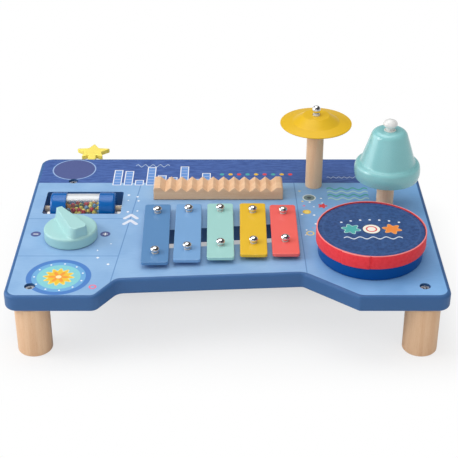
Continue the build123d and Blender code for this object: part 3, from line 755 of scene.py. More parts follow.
@dataclass(frozen=True)
class Beech:
    """Sanded, clear-coated beech with its grain along one axis."""

    name: str
    grain: Axis
    pale: Colour = srgb(240, 203, 166)
    warm: Colour = srgb(229, 185, 146)
    fleck: Colour = srgb(196, 148, 110)
    fibre_run: float = 0.045
    fleck_run: float = 0.22

    def drawn_out(self, graph: Graph, where: Wire, run: float) -> Wire:
        """Position whose pattern is drawn out along the grain.

        Args:
            graph: The material's graph.
            where: Position in millimetres.
            run: Factor along the grain. The smaller it is, the longer the pattern.

        Returns:
            The scaled position.
        """
        factors = [1.0, 1.0, 1.0]
        factors[self.grain.value] = run
        return graph.stretch(where, tuple(factors))

    def make(self) -> bpy.types.Material:
        """Fibres and broad bands drawn out along the grain, with short dark flecks.

        Returns:
            The material.
        """
        graph = Graph.material(self.name)
        where = graph.place()
        long = self.drawn_out(graph, where, self.fibre_run)
        short = self.drawn_out(graph, where, self.fleck_run)
        fibres = graph.noise(long, scale=1.9, detail=4, roughness=0.6)
        bands = graph.noise(long, scale=0.16, detail=2)
        flecks = graph.band(graph.noise(short, scale=2.6, detail=1), low=0.64, high=0.72)
        ground = graph.band(bands * 0.6 + fibres * 0.4, low=0.3, high=0.7)
        return graph.finish(
            Base_Color=graph.mix(flecks * 0.3, graph.mix(ground, self.pale, self.warm), self.fleck),
            Roughness=uneven(0.5, 0.16, fibres),
            Specular_IOR_Level=0.3,
            Normal=graph.bump(fibres - 0.5 * flecks, depth=0.02),
        )


@dataclass(frozen=True)
class Metal:
    """Bare metal: polished chrome, or plated steel with a fine grain."""

    name: str
    colour: Colour
    roughness: float
    grain: float

    def make(self) -> bpy.types.Material:
        """Metal whose gloss varies with a fine grain.

        Returns:
            The material.
        """
        graph = Graph.material(self.name)
        grit = graph.noise(graph.place(), scale=2.2, detail=3)
        return graph.finish(
            Base_Color=self.colour,
            Metallic=1.0,
            Roughness=uneven(self.roughness, self.grain, grit),
            Normal=graph.bump(grit, depth=0.01 * self.grain),
        )


@dataclass(frozen=True)
class Fuzz:
    """Felt: matt, with a nap of tangled fibres, and a pale painted highlight above a height."""

    name: str
    colour: Colour
    tip: Colour
    nap: float = 0.16
    # Painted highlight: its colour, the height where it starts and how softly it starts.
    highlight_above: float = 1e3
    rim: Colour = WHITE
    highlight_blur: float = 0.5

    def make(self) -> bpy.types.Material:
        """Fine tangled noise for tone and height, and the painted highlight above a height.

        Returns:
            The material.
        """
        graph = Graph.material(self.name)
        where = graph.place()
        tangle = graph.noise(where, scale=2.4, detail=5, roughness=0.7)
        clumps = graph.noise(where, scale=0.35, detail=2)
        cloth = graph.band(tangle * 0.5 + clumps * 0.5, low=0.3, high=0.7)
        # Painted highlight: above this height the felt turns to the pale rim colour.
        at_highlight = graph.band(graph.axes(where)[2], self.highlight_above - self.highlight_blur, self.highlight_above)
        return graph.finish(
            Base_Color=graph.mix(at_highlight, graph.mix(cloth, self.colour, self.tip), self.rim),
            Roughness=uneven(0.86, 0.1, tangle),
            Specular_IOR_Level=0.2,
            Sheen_Weight=0.12,
            Sheen_Roughness=0.5,
            Normal=graph.bump(tangle, self.nap),
        )


@dataclass(frozen=True)
class ClearPlastic:
    """Clear drawn tube: see-through face on, with a white skin at a glancing angle that is painted
    reflection.
    """

    name: str
    pass_tint: Colour = (0.96, 0.97, 0.975, 1.0)
    # Painted reflection: the white of the skin stands in for the lamps mirrored in the tube.
    skin: Colour = srgb(232, 235, 238)
    clear_share: float = 0.04
    painted_reflection_share: float = 0.8
    line_run: float = 0.02

    def make(self) -> bpy.types.Material:
        """See-through skin mixed, by the angle it is seen at, with a white glossy one: partly real gloss,
        partly painted reflection.

        Returns:
            The material.
        """
        graph = Graph.material(self.name)
        drawn = graph.stretch(graph.place(), (self.line_run, 1.0, 1.0))
        lines = graph.noise(drawn, scale=0.7, detail=2)
        edge_on = graph.node("ShaderNodeLayerWeight", {}, {"Blend": 0.5}, "Facing")
        # Painted reflection: the white skin shows at glancing angles, streaked along the tube.
        painted_reflection = graph.band(uneven(edge_on, 0.08, lines), low=0.1, high=0.36)
        in_shadow = graph.node("ShaderNodeLightPath", output="Is Shadow Ray")
        share = (self.clear_share + self.painted_reflection_share * painted_reflection) * (1 - in_shadow)
        through = graph.node("ShaderNodeBsdfTransparent", {}, {"Color": self.pass_tint})
        gloss = graph.principled(
            Base_Color=self.skin,
            Roughness=uneven(0.1, 0.04, lines),
            Coat_Weight=0.8,
            Coat_Roughness=0.03,
        )
        return graph.surface(graph.blend(share, through, gloss))


BEAD_COLOUR = "bead_colour"


@dataclass(frozen=True)
class BeadPaint:
    """Gloss paint whose colour each bead carries itself."""

    name: str

    def make(self) -> bpy.types.Material:
        """Reads the beads' own colour attribute.

        Returns:
            The material.
        """
        graph = Graph.material(self.name)
        paint = graph.node("ShaderNodeAttribute", {"attribute_name": BEAD_COLOUR}, output="Color")
        grit = graph.noise(graph.place(), scale=1.2, detail=2)
        shaded = graph.mix(0.06 * grit, paint, WHITE)
        return graph.finish(Base_Color=shaded, Roughness=0.25 + 0.1 * grit, Specular_IOR_Level=0.4)


# ---- prints ------------------------------------------------------------------
PALE_YELLOW = srgb(250, 222, 120)
YELLOW = srgb(240, 196, 60)
ORANGE = srgb(243, 140, 58)
PALE_ORANGE = srgb(240, 176, 104)
RED = srgb(226, 72, 78)
PINK = srgb(240, 120, 150)
TEAL = srgb(80, 176, 172)
PALE_TEAL = srgb(170, 216, 222)
MINT_EDGE = srgb(186, 226, 222)
CREAM = srgb(250, 246, 232)
CHALK = srgb(226, 234, 244)
SLATE = srgb(112, 136, 140)
DARK_SLATE = srgb(66, 86, 98)


class Ink:
    """Flat print in board millimetres, laid down one shape after another.

    A shape is a distance in millimetres: less than zero inside it and more
    outside it.
    """

    SOFT = 0.4

    def __init__(self, graph: Graph, ground: Wire) -> None:
        """Starts on a ground colour.

        Args:
            graph: The material's graph.
            ground: Colour under the print.
        """
        self.graph = graph
        self.where = graph.place()
        self.x, self.y, self.z = graph.axes(self.where)
        self.flat = graph.point(self.x, self.y)
        self.colour = ground

    def fill(self, distance: Wire) -> Wire:
        """One inside a shape and zero outside it, with a soft edge."""
        return self.graph.math("MULTIPLY_ADD", distance, -1 / self.SOFT, 0.5, clamp=True)

    def stamp(self, distance: Wire, ink: Value, cover: float = 1.0) -> None:
        """Prints a shape over what is there.

        Args:
            distance: The shape.
            ink: Its colour.
            cover: Share of the ground that the ink hides.
        """
        mask = self.fill(distance)
        if cover != 1.0:
            mask = mask * cover
        self.colour = self.graph.mix(mask, self.colour, ink)

    def outlined(self, distance: Wire, ink: Value, edge: Value, width: float) -> None:
        """Prints a shape with a line along the inside of its edge."""
        self.stamp(distance, edge)
        self.stamp(distance + width, ink)

    def both(self, first: Wire, second: Wire) -> Wire:
        """Where two shapes overlap."""
        return self.graph.math("MAXIMUM", first, second)

    def either(self, first: Wire, second: Wire) -> Wire:
        """Two shapes as one."""
        return self.graph.math("MINIMUM", first, second)

    def angle(self, centre: Place) -> Wire:
        """Angle about a centre."""
        return self.graph.math("ARCTAN2", self.y - centre[1], self.x - centre[0])

    def disc(self, centre: Place, radius: float) -> Wire:
        """Round spot."""
        return self.graph.vector("DISTANCE", self.flat, (*centre, 0.0), output=1) - radius

    def ring(self, centre: Place, radius: float, width: float) -> Wire:
        """Round line of a width."""
        return abs(self.disc(centre, radius)) - width / 2

    def box(self, centre: Place, half: Place) -> Wire:
        """Upright rectangle, from its middle and half its sides."""
        across = abs(self.x - centre[0]) - half[0]
        return self.both(across, abs(self.y - centre[1]) - half[1])

    def rosette(self, centre: Place, outer: float, inner: float, petals: int, turn: float = 0.0) -> Wire:
        """Flower whose edge swings between two radii.

        The edge's radius is the mean of the two plus half their difference
        times the cosine of the petals' count times the angle.

        Args:
            centre: Its middle.
            outer: Radius at a petal's tip.
            inner: Radius between two petals.
            petals: Number of petals.
            turn: Shift of the swing, in degrees.

        Returns:
            The shape.
        """
        swing = self.graph.math("COSINE", self.angle(centre) * petals + radians(turn))
        return self.disc(centre, (outer + inner) / 2) - swing * ((outer - inner) / 2)

    def wreath(self, centre: Place, radius: float, count: int, size: float) -> Wire:
        """Evenly spaced spots on a circle.

        The whole turn is cut into as many equal steps as there are spots, and
        the spot that counts is the one in the middle of the place's own step.

        Args:
            centre: Middle of the circle.
            radius: Radius of the circle.
            count: Number of spots.
            size: Radius of a spot.

        Returns:
            The shape.
        """
        graph, step = self.graph, 2 * pi / count
        turn = step * (graph.math("FLOOR", self.angle(centre) / step) + 0.5)
        x = radius * graph.math("COSINE", turn) + centre[0]
        y = radius * graph.math("SINE", turn) + centre[1]
        return graph.vector("DISTANCE", self.flat, graph.point(x, y), output=1) - size

    def stroke(self, points: Sequence[Place], width: float) -> Wire:
        """Line through points, with round ends.

        The distance from a straight run is that from its nearest point: the
        foot of the perpendicular, kept between its two ends.

        Args:
            points: The line's points.
            width: Its width.

        Returns:
            The shape.
        """
        whole: Wire | None = None
        for start, end in zip(points, points[1:]):
            run = np.subtract(end, start)
            reach = run / (run @ run)
            from_start = self.graph.vector("SUBTRACT", self.flat, (*start, 0.0))
            share = self.graph.vector("DOT_PRODUCT", from_start, (*reach.tolist(), 0.0), output=1)
            share = self.graph.math("ADD", share, 0.0, clamp=True)
            foot = self.graph.point(share * run[0], share * run[1])
            part = self.graph.vector("DISTANCE", from_start, foot, output=1) - width / 2
            whole = part if whole is None else self.either(whole, part)
        return whole

    def wave(self, start: Place, length: float, height: float, waves: float, width: float) -> Wire:
        """Level wavy line from a start point.

        Its middle is at the start's y plus height times the sine of the share
        of the length times the number of waves times a whole turn.

        Args:
            start: Its left end.
            length: Its length along x.
            height: How far it swings to each side.
            waves: Number of waves.
            width: Its width.

        Returns:
            The shape.
        """
        turn = 2 * pi * waves / length
        middle = height * self.graph.math("SINE", (self.x - start[0]) * turn)
        line = abs(self.y - start[1] - middle) - width / 2
        return self.both(line, abs(self.x - start[0] - length / 2) - length / 2)

    def sprinkle(self, area: Wire, pitch: float, size: float, share: float, shift: float) -> None:
        """Small diamonds and specks strewn over an area.

        Each cell of a jittered grid holds one, at a random point. Its colour
        comes from the cell's own random number, and only a share of the cells
        is printed.

        Args:
            area: Mask of the area.
            pitch: Distance between neighbours.
            size: Half a diamond's diagonal.
            share: Share of the cells that are printed.
            shift: Shift of the grid, which changes the pattern.
        """
        moved = self.graph.vector("ADD", self.flat, (shift, 1.7 * shift, 0.0))
        sockets = {"Vector": moved, "Scale": 1 / pitch, "Randomness": 0.75}
        settings = {"voronoi_dimensions": "2D", "distance": "MANHATTAN"}
        near = self.graph.node("ShaderNodeTexVoronoi", settings, sockets)
        chance, tint, bulk = self.graph.axes(near.also("Color"))
        reach = near * pitch - size * (0.55 + 0.6 * bulk)
        mask = self.fill(reach) * area * (chance < share)
        warm = self.graph.mix(tint > 0.75, WHITE, PALE_YELLOW)
        self.colour = self.graph.mix(mask, self.colour, self.graph.mix(tint > 0.9, warm, PINK))


@dataclass(frozen=True)
class Sprinkled:
    """Box of the board that small specks are strewn over."""

    middle: Place
    half: Place
    shift: float
    pitch: float = 11.0
    size: float = 1.5
    share: float = 0.6


@dataclass(frozen=True)
class PrintedBoard:
    """Painted board whose top face carries a printed sheet."""

    name: str = "board_print"
    side: Colour = srgb(60, 104, 158)
    side_dark: float = 0.94
    panel: Colour = srgb(150, 188, 227)
    panel_deep: Colour = srgb(134, 174, 217)
    # Painted shade: the right of the top face gets a deeper, bluer tone that stands in for the shade it
    # lies in, right of the drum.
    right_panel_painted_shade: Colour = srgb(133, 186, 238)
    right_deep_painted_shade: Colour = srgb(118, 172, 226)
    painted_shade_from: Place = (20.0, 150.0)
    navy: Colour = srgb(76, 108, 176)
    navy_deep: Colour = srgb(56, 86, 152)
    line: Colour = srgb(88, 134, 190)
    line_width: float = 0.9
    line_cover: float = 0.85
    violet: Colour = srgb(80, 92, 146)
    # the sheet
    half_width: float = 200.0
    half_depth: float = 135.0
    inset: float = 3.6
    corner: float = 8.5
    recess: tuple[Place, ...] = ((-117.5, -135.0), (-99.5, -107.0), (69.0, -96.0), (117.5, -135.0))
    recess_round: float = 7.0
    mouth_round: float = 4.0
    # the band along the back
    band_front: float = 79.0
    circle_at: Place = (-163.0, 109.0)
    circle_radius: float = 23.0
    circle_edge: Colour = srgb(156, 184, 226)
    short_wave: Colour = srgb(214, 232, 246)
    long_wave: Colour = srgb(206, 222, 240)
    column: Colour = srgb(104, 150, 216)
    columns_from: Place = (-121.0, 74.0)
    column_pitch: float = 11.6
    column_half: float = 4.5
    middle_column: float = 4.0
    rung_pitch: float = 3.2
    dots: tuple[Colour, ...] = 3 * (TEAL, YELLOW, RED)
    dots_from: Place = (-6.0, 98.0)
    dot_pitch: float = 9.0
    dot_radius: float = 2.3
    # the round picture
    picture_at: Place = (-153.5, -101.6)
    rings: tuple[tuple[float, Colour], ...] = (
        (29.6, srgb(76, 128, 198)),
        (24.6, srgb(112, 172, 220)),
        (20.0, srgb(134, 206, 214)),
    )
    flower_heart: Colour = srgb(250, 236, 180)
    # the signs beside the knob
    minus_at: Place = (-185.0, -25.4)
    plus_at: Place = (-118.0, -25.4)
    sign_radius: float = 4.9
    sign_bar: Place = (2.4, 0.55)
    # loose motifs
    sprinkled: tuple[Sprinkled, ...] = (
        Sprinkled((-116.0, -70.0), (7.0, 27.0), 3.0),
        Sprinkled((-97.0, 34.0), (8.0, 22.0), 37.0),
        Sprinkled((84.0, 12.0), (12.0, 50.0), 71.0),
    )
    chevron: tuple[Place, ...] = ((-101.5, -4.0), (-95.5, 3.0), (-89.5, -4.0))
    chevron_heights: Place = (9.0, -2.0)
    chevron_ink: Colour = srgb(226, 230, 242)
    water: tuple[tuple[float, Colour], ...] = (
        (66.0, TEAL),
        (59.0, PALE_TEAL),
        (52.0, TEAL),
        (45.0, PALE_TEAL),
    )
    water_left: float = 102.0
    target_at: Place = (83.0, 47.0)
    target_edge: Colour = srgb(214, 226, 226)

    def sheet(self, ink: Ink) -> Wire:
        """Outline of the printed sheet: the board's own outline, a little smaller.

        The board is a rounded rectangle less the recess, which is where its
        three straight sides' half-planes overlap.

        Args:
            ink: The print.

        Returns:
            The shape.
        """
        graph = ink.graph
        across = abs(ink.x) - (self.half_width - self.inset - self.corner)
        deep = abs(ink.y) - (self.half_depth - self.inset - self.corner)
        board = graph.outside(across, deep) - self.corner
        recess: Wire | None = None
        for start, end in zip(self.recess, self.recess[1:]):
            run = np.subtract(end, start)
            normal = np.array([-run[1], run[0]]) / np.linalg.norm(run)
            offset = graph.vector("SUBTRACT", ink.flat, (*start, 0.0))
            beyond = graph.vector("DOT_PRODUCT", offset, (*normal.tolist(), 0.0), output=1)
            if recess is None:
                recess = beyond
            else:
                recess = graph.math("SMOOTH_MAX", recess, beyond, self.recess_round)
        return graph.math("SMOOTH_MAX", board, self.inset - recess, self.mouth_round)

    def panels(self, ink: Ink) -> None:
        """Navy band along the back, and the thin lines between the panels.

        Args:
            ink: The print.
        """
        graph = ink.graph
        brushed = graph.stretch(ink.where, (0.25, 1.0, 1.0))
        strokes = graph.noise(brushed, scale=0.35, detail=4, roughness=0.65)
        navy = graph.mix(graph.band(strokes, low=0.35, high=0.65), self.navy_deep, self.navy)
        ink.stamp(self.band_front - ink.y, navy)
        lines = (
            ((-89.6, self.band_front), (-106.0, -112.0)),
            ((-196.0, 4.4), (-96.2, 4.4)),
            ((-196.0, -65.5), (-102.3, -65.5)),
            ((68.9, self.band_front), (72.8, -97.0)),
        )
        for line in lines:
            ink.stamp(ink.stroke(line, self.line_width), self.line, self.line_cover)

    def columns(self, ink: Ink) -> None:
        """Row of level columns with rungs, their heights on a sine of their number.

        Args:
            ink: The print.
        """
        graph = ink.graph
        left, foot = self.columns_from
        number = graph.math("FLOOR", (ink.x - left) / self.column_pitch)
        local = ink.x - left - self.column_pitch * (number + 0.5)
        half_tall = 13.0 + 8.0 * graph.math("SINE", number * 2.3 + 0.5)
        column = ink.both(abs(local) - self.column_half, abs(ink.y - foot - half_tall) - half_tall)
        row = ink.both(column, 50.0 * (abs(number - self.middle_column) - (self.middle_column + 0.5)))
        ink.outlined(row, self.column, WHITE, 0.9)
        rungs = abs(graph.math("PINGPONG", ink.y - foot, self.rung_pitch)) - 0.35
        ink.stamp(ink.both(row + 1.6, rungs), WHITE, 0.55)

    def back_band(self, ink: Ink) -> None:
        """Plain dark circle, two wavy lines, the columns and a row of dots.

        Args:
            ink: The print.
        """
        ink.outlined(ink.disc(self.circle_at, self.circle_radius), self.violet, self.circle_edge, 1.2)
        short = ink.wave((-98.0, 117.5), length=36.0, height=2.6, waves=4.5, width=1.0)
        ink.stamp(short, self.short_wave)
        long = ink.wave((104.0, 91.0), length=34.0, height=1.3, waves=6.0, width=0.9)
        ink.stamp(long, self.long_wave)
        self.columns(ink)
        left, y = self.dots_from
        for step, colour in enumerate(self.dots):
            ink.stamp(ink.disc((left + self.dot_pitch * step, y), self.dot_radius), colour)

    def round_picture(self, ink: Ink) -> None:
        """Rings, a flower and a wreath of dots in the near left corner, a small ring beside them.

        Args:
            ink: The print.
        """
        centre = self.picture_at
        for radius, colour in self.rings:
            ink.stamp(ink.disc(centre, radius), colour)
        petals = ink.rosette(centre, outer=14.5, inner=10.5, petals=12, turn=40.0)
        ink.outlined(petals, YELLOW, PALE_YELLOW, 1.4)
        ink.stamp(ink.rosette(centre, outer=9.4, inner=3.2, petals=6, turn=15.0), ORANGE, 0.8)
        ink.stamp(ink.disc(centre, 2.6), self.flower_heart)
        ink.stamp(ink.wreath(centre, radius=22.3, count=11, size=0.85), WHITE)
        ink.stamp(ink.ring((-121.0, -118.0), radius=2.8, width=1.5), PINK)

    def signs(self, ink: Ink) -> None:
        """Minus and plus beside the knob.

        Args:
            ink: The print.
        """
        for centre in (self.minus_at, self.plus_at):
            ink.stamp(ink.disc(centre, self.sign_radius), self.violet)
            ink.stamp(ink.box(centre, self.sign_bar), WHITE)
        ink.stamp(ink.box(self.plus_at, self.sign_bar[::-1]), WHITE)

    def loose_motifs(self, ink: Ink) -> None:
        """Specks, chevrons, waves and round motifs on the light panels.

        Args:
            ink: The print.
        """
        for zone in self.sprinkled:
            area = ink.fill(ink.box(zone.middle, zone.half))
            ink.sprinkle(area, zone.pitch, zone.size, zone.share, zone.shift)
        for height in self.chevron_heights:
            points = [(x, y + height) for x, y in self.chevron]
            ink.stamp(ink.stroke(points, 3.6), self.chevron_ink)
        for y, tint in self.water:
            line = ink.wave((self.water_left, y), length=42.0, height=1.9, waves=3.5, width=2.8)
            ink.stamp(line, tint)
        ink.outlined(ink.disc(self.target_at, 6.8), SLATE, self.target_edge, 1.2)
        ink.stamp(ink.disc(self.target_at, 2.2), DARK_SLATE)
        ink.stamp(ink.rosette((95.5, 30.0), outer=5.0, inner=2.8, petals=5), RED)
        ink.outlined(ink.disc((79.0, 18.0), 4.2), PALE_YELLOW, YELLOW, 1.4)
        ink.stamp(ink.ring((80.0, -24.0), radius=3.4, width=1.3), PALE_YELLOW)

    def make(self) -> bpy.types.Material:
        """Satin paint everywhere, and the printed sheet on the top face only.

        Returns:
            The material.
        """
        graph = Graph.material(self.name)
        where = graph.place()
        cloud = graph.noise(where, scale=0.03, detail=3)
        strokes = graph.noise(graph.stretch(where, (0.12, 1.0, 1.0)), scale=0.9, detail=3)
        tone = graph.band(cloud * 0.7 + strokes * 0.3, low=0.3, high=0.7)
        # Painted shade: from x 20 to 150 mm the panel blends into the bluer tone that stands in for the
        # shade there.
        right = graph.band(graph.axes(where)[0], *self.painted_shade_from)
        pale = graph.mix(right, self.panel, self.right_panel_painted_shade)
        ink = Ink(graph, graph.mix(tone, graph.mix(right, self.panel_deep, self.right_deep_painted_shade), pale))
        self.panels(ink)
        self.back_band(ink)
        self.round_picture(ink)
        self.signs(ink)
        self.loose_motifs(ink)
        printed = ink.fill(self.sheet(ink)) * (ink.z > -0.05)
        paint = graph.mix(cloud, shade(self.side, self.side_dark), self.side)
        grit = graph.noise(where, scale=1.3, detail=3)
        return graph.finish(
            Base_Color=graph.mix(printed, paint, ink.colour),
            Roughness=uneven(0.42, 0.12, grit),
            Specular_IOR_Level=0.3,
            Normal=graph.bump(grit, depth=0.012),
        )


@dataclass(frozen=True)
class PrintedSkin:
    """Drum film: navy with a small print, a woven look and a faint inner ring."""

    centre: Place
    radius: float
    name: str = "drum_print"
    navy: Colour = srgb(54, 90, 146)
    deep: Colour = srgb(34, 64, 116)
    inner_ring: Colour = srgb(70, 104, 156)
    disc_edge: Colour = srgb(40, 56, 92)
    dot: Colour = srgb(226, 236, 248)
    weave: float = 7.0
    apart: float = 19.0
    dot_pitch: float = 9.0
    dot_rise: float = 17.0
    dot_sag: float = 0.5
    dots_each_side: int = 3

    def motifs(self, ink: Ink) -> None:
        """Three round motifs in a row, a wavy line under them and an arc of dots over them.

        Args:
            ink: The print.
        """
        x, y = self.centre
        ink.stamp(ink.ring(self.centre, 0.9 * self.radius, 1.6), self.inner_ring, 0.35)
        for shift, colour, edge in ((-self.apart, TEAL, MINT_EDGE), (self.apart, ORANGE, PALE_ORANGE)):
            flower = ink.rosette((x + shift, y), outer=9.4, inner=6.0, petals=6, turn=90.0)
            ink.outlined(flower, colour, edge, 0.9)
        ink.outlined(ink.disc(self.centre, 8.8), CREAM, self.disc_edge, 0.8)
        ink.stamp(ink.ring(self.centre, radius=4.6, width=1.4), RED)
        line = ink.wave((x - 27.0, y - 16.0), length=54.0, height=1.8, waves=4.5, width=1.5)
        ink.stamp(line, CHALK)
        for step in range(-self.dots_each_side, self.dots_each_side + 1):
            at = (x + self.dot_pitch * step, y + self.dot_rise - self.dot_sag * step**2)
            ink.stamp(ink.disc(at, 1.2), self.dot)

    def make(self) -> bpy.types.Material:
        """Blotched navy ground with the motifs on it.

        Returns:
            The material.
        """
        graph = Graph.material(self.name)
        where = graph.place()
        blotch = graph.noise(where, scale=0.3, detail=4, roughness=0.65)
        x, y, _ = graph.axes(where)
        weave = graph.math("SINE", x * self.weave) * graph.math("SINE", y * self.weave)
        ink = Ink(graph, graph.mix(graph.band(blotch, low=0.3, high=0.7), self.deep, self.navy))
        self.motifs(ink)
        return graph.finish(
            Base_Color=ink.colour,
            Roughness=uneven(0.46, 0.1, blotch),
            Specular_IOR_Level=0.3,
            Normal=graph.bump(0.5 + 0.25 * weave + 0.3 * blotch, depth=0.02),
        )


class Finishes:
    """The finishes that several sub-assemblies share."""

    def __init__(self) -> None:
        """Makes each of them once."""
        self.beech_up = Beech("beech_upright", Axis.Z).make()
        self.beech_across = Beech("beech_across", Axis.X).make()
        self.beech_deep = Beech("beech_deep", Axis.Y).make()
        # Painted light: a lighter, warmer copy of the beech for the posts, standing in for the light they
        # catch.
        self.beech_post_painted_light = Beech("beech_post_painted_light", Axis.Z, srgb(255, 222, 184), srgb(246, 204, 162)).make()
        # Painted light: a paler copy of the beech for the axles, which sit in shade in the board's window.
        self.beech_axle_painted_light = Beech("beech_axle_painted_light", Axis.X, srgb(250, 230, 200), srgb(240, 214, 180)).make()
        self.chrome = Metal("polished_chrome", (0.8, 0.8, 0.82, 1.0), 0.06, 0.03).make()
        self.steel = Metal("zinc_plated_steel", (0.72, 0.73, 0.75, 1.0), 0.3, 0.18).make()
        self.rubber = Lacquer("pale_rubber", srgb(214, 214, 208), 0.62, 0.0).make()
        self.nylon = Lacquer("white_nylon", srgb(232, 232, 226), 0.5, 0.05).make()
        self.felt = Fuzz("wool_felt", srgb(216, 208, 190), srgb(236, 230, 216)).make()


# ---- sub-assemblies ----------------------------------------------------------
@dataclass
class Board:
    """Painted board with its printed top."""

    finish: PrintedBoard = PrintedBoard()

    def build(self) -> None:
        """Dresses the construction node, whose shape is already right."""
        dress(self.finish.make(), "tabletop")


@dataclass
class Legs:
    """Four turned beech legs with their bolts and inserts."""

    edge: float = 1.4
    mouth: float = 0.2
    bore_radius: float = 4.05
    bore_depth: float = 16.0
    names: tuple[str, ...] = ("front_left_leg", "front_right_leg", "rear_left_leg", "rear_right_leg")

    def build(self, shared: Finishes) -> None:
        """Turns each leg and dresses the fasteners.

        Args:
            shared: The shared finishes.
        """
        rims = (self.edge, self.edge, self.mouth)
        for name in self.names:
            shape = bored_pole(Span.of(name), rims, self.bore_radius, self.bore_depth, segments=96)
            make_piece(f"{name}_turned", shape, shared.beech_up, TABLE, "beech", name)
        dress(shared.steel, "leg_bolts", "leg_inserts")


@dataclass
class BeadRoller:
    """Clear tube of loose beads between two gloss blue caps, on stub axles."""

    cap_edge: float = 2.6
    bore_edge: float = 0.5
    seat_play: float = 0.05
    axle_play: float = 0.1
    end_play: float = 0.2
    tube_wall: float = 1.3
    bead_wall: float = 1.4
    bead_ends: float = 0.6
    bead_radius: float = 2.35
    bead_count: int = 172
    settle_steps: int = 260
    heap: float = 0.7
    sink: float = 0.25
    far: float = 1e3
    least_reach: float = 1e-6
    seed: int = 11
    colours: tuple[Colour, ...] = (
        srgb(214, 30, 58),
        srgb(246, 220, 62),
        srgb(252, 240, 130),
        srgb(246, 164, 60),
        srgb(214, 30, 58),
        srgb(250, 230, 96),
        srgb(104, 168, 216),
        srgb(24, 84, 74),
    )

    def cap(self, side: Side, paint: bpy.types.Material) -> None:
        """Turned cap with a seat for the tube and a bore for the axle.

        Args:
            side: The side it is on.
            paint: Its finish.
        """
        name = f"{side.name.lower()}_roller_cap"
        span, tube = Span.of(name), Span.of("roller_tube")
        axle = Span.of(f"{side.name.lower()}_roller_axle")
        inner, outer = span.ends(side)
        seat = tube.ends(side)[1]
        stop = axle.ends(side)[0] - side.value * self.end_play
        radius, seat_radius = span.size[2] / 2, tube.size[2] / 2 + self.seat_play
        bore_radius = axle.size[2] / 2 + self.axle_play
        corners = [
            (0, stop),
            (0, seat),
            (seat_radius, seat),
            (seat_radius, inner),
            (radius, inner),
            (radius, outer),
            (bore_radius, outer),
            (bore_radius, stop),
        ]
        outline = rounded(corners, [0, 0, 0, 0.3, 0.5, self.cap_edge, self.bore_edge, 0])
        shape = lathe(outline, 96, Axis.X).moved((0.0, *span.middle[1:]))
        make_piece(f"{name}_turned", shape, paint, "roller", "roller_blue", name)

    def settle(self, length: float, radius: float) -> np.ndarray:
        """Middles of the beads once they lie at rest in the tube.

        They start on random points, sink a little at each step, are pushed
        apart where they overlap, each by half the overlap, and are kept
        inside the tube.

        Args:
            length: Inner length of the tube.
            radius: Inner radius of the tube.

        Returns:
            Rows of x, y and z about the tube's middle.
        """
        draw = np.random.default_rng(self.seed)
        room = radius - self.bead_radius
        spots = draw.uniform(-1, 1, (self.bead_count, 3))
        spots *= (length / 2 - self.bead_radius, room * self.heap, room * self.heap)
        for step in range(self.settle_steps):
            spots[:, 2] -= self.sink * (1 - step / self.settle_steps)
            apart = spots[:, None] - spots[None]
            # No bead pushes itself: it counts as far from itself.
            distance = np.linalg.norm(apart, axis=-1) + np.eye(self.bead_count) * self.far
            overlap = np.maximum(2 * self.bead_radius - distance, 0)
            spots += 0.5 * (apart / distance[..., None] * overlap[..., None]).sum(1)
            reach = np.linalg.norm(spots[:, 1:], axis=1, keepdims=True)
            spots[:, 1:] *= np.minimum(1, room / np.maximum(reach, self.least_reach))
            limit = length / 2 - self.bead_radius
            spots[:, 0] = np.clip(spots[:, 0], -limit, limit)
        return spots

    def beads(self) -> None:
        """One coarse ball for each bead, all in one mesh, each with its own colour."""
        tube = Span.of("roller_tube")
        middles = self.settle(tube.size[0] - self.bead_ends, tube.size[2] / 2 - self.bead_wall)
        bead = ball(self.bead_radius)
        points = (middles[:, None] + bead.points).reshape(-1, 3) + tube.middle
        first = np.arange(self.bead_count)[:, None, None] * len(bead.points)
        faces = np.array(bead.faces)[None] + first
        shape = Shape(points, faces.reshape(-1, 4).tolist())
        mesh = fill_mesh("beads", shape)
        corners = np.empty(len(mesh.vertices) * 3)
        mesh.vertices.foreach_get("co", corners)
        owner_points = (corners.reshape(-1, 3) - ORIGIN) / MM - tube.middle
        owner = np.linalg.norm(owner_points[:, None] - middles[None], axis=-1).argmin(1)
        palette = np.array(self.colours)
        chosen = np.random.default_rng(self.seed + 1).integers(0, len(palette), self.bead_count)
        paint = mesh.color_attributes.new(BEAD_COLOUR, "FLOAT_COLOR", "POINT")
        paint.data.foreach_set("color", palette[chosen[owner]].ravel())
        add_piece("beads", mesh, BeadPaint("bead_paint").make(), TABLE, ["roller_beads"])

    def tube(self) -> None:
        """Clear tube, open at both ends, where the caps close it."""
        span = Span.of("roller_tube")
        radius = span.size[2] / 2
        corners = [
            (radius - self.tube_wall, span.low[0]),
            (radius - self.tube_wall, span.high[0]),
            (radius, span.high[0]),
            (radius, span.low[0]),
        ]
        shape = lathe(rounded(corners, 0.2, 2), 96, Axis.X).moved((0.0, *span.middle[1:]))
        finish = ClearPlastic("clear_plastic").make()
        make_piece("clear_tube", shape, finish, "roller", "clear_tube", "roller_tube")

    def build(self, shared: Finishes) -> None:
        """Builds the roller and dresses its axles.

        Args:
            shared: The shared finishes.
        """
        paint = Lacquer("roller_blue", srgb(0, 98, 176), 0.26, 0.4, 0.1, 0.04, 0.004, 0.25).make()
        for side in Side:
            self.cap(side, paint)
        self.tube()
        self.beads()
        # The axles' paler beech paints light over the shade they sit in.
        dress(shared.beech_axle_painted_light, "left_roller_axle", "right_roller_axle")


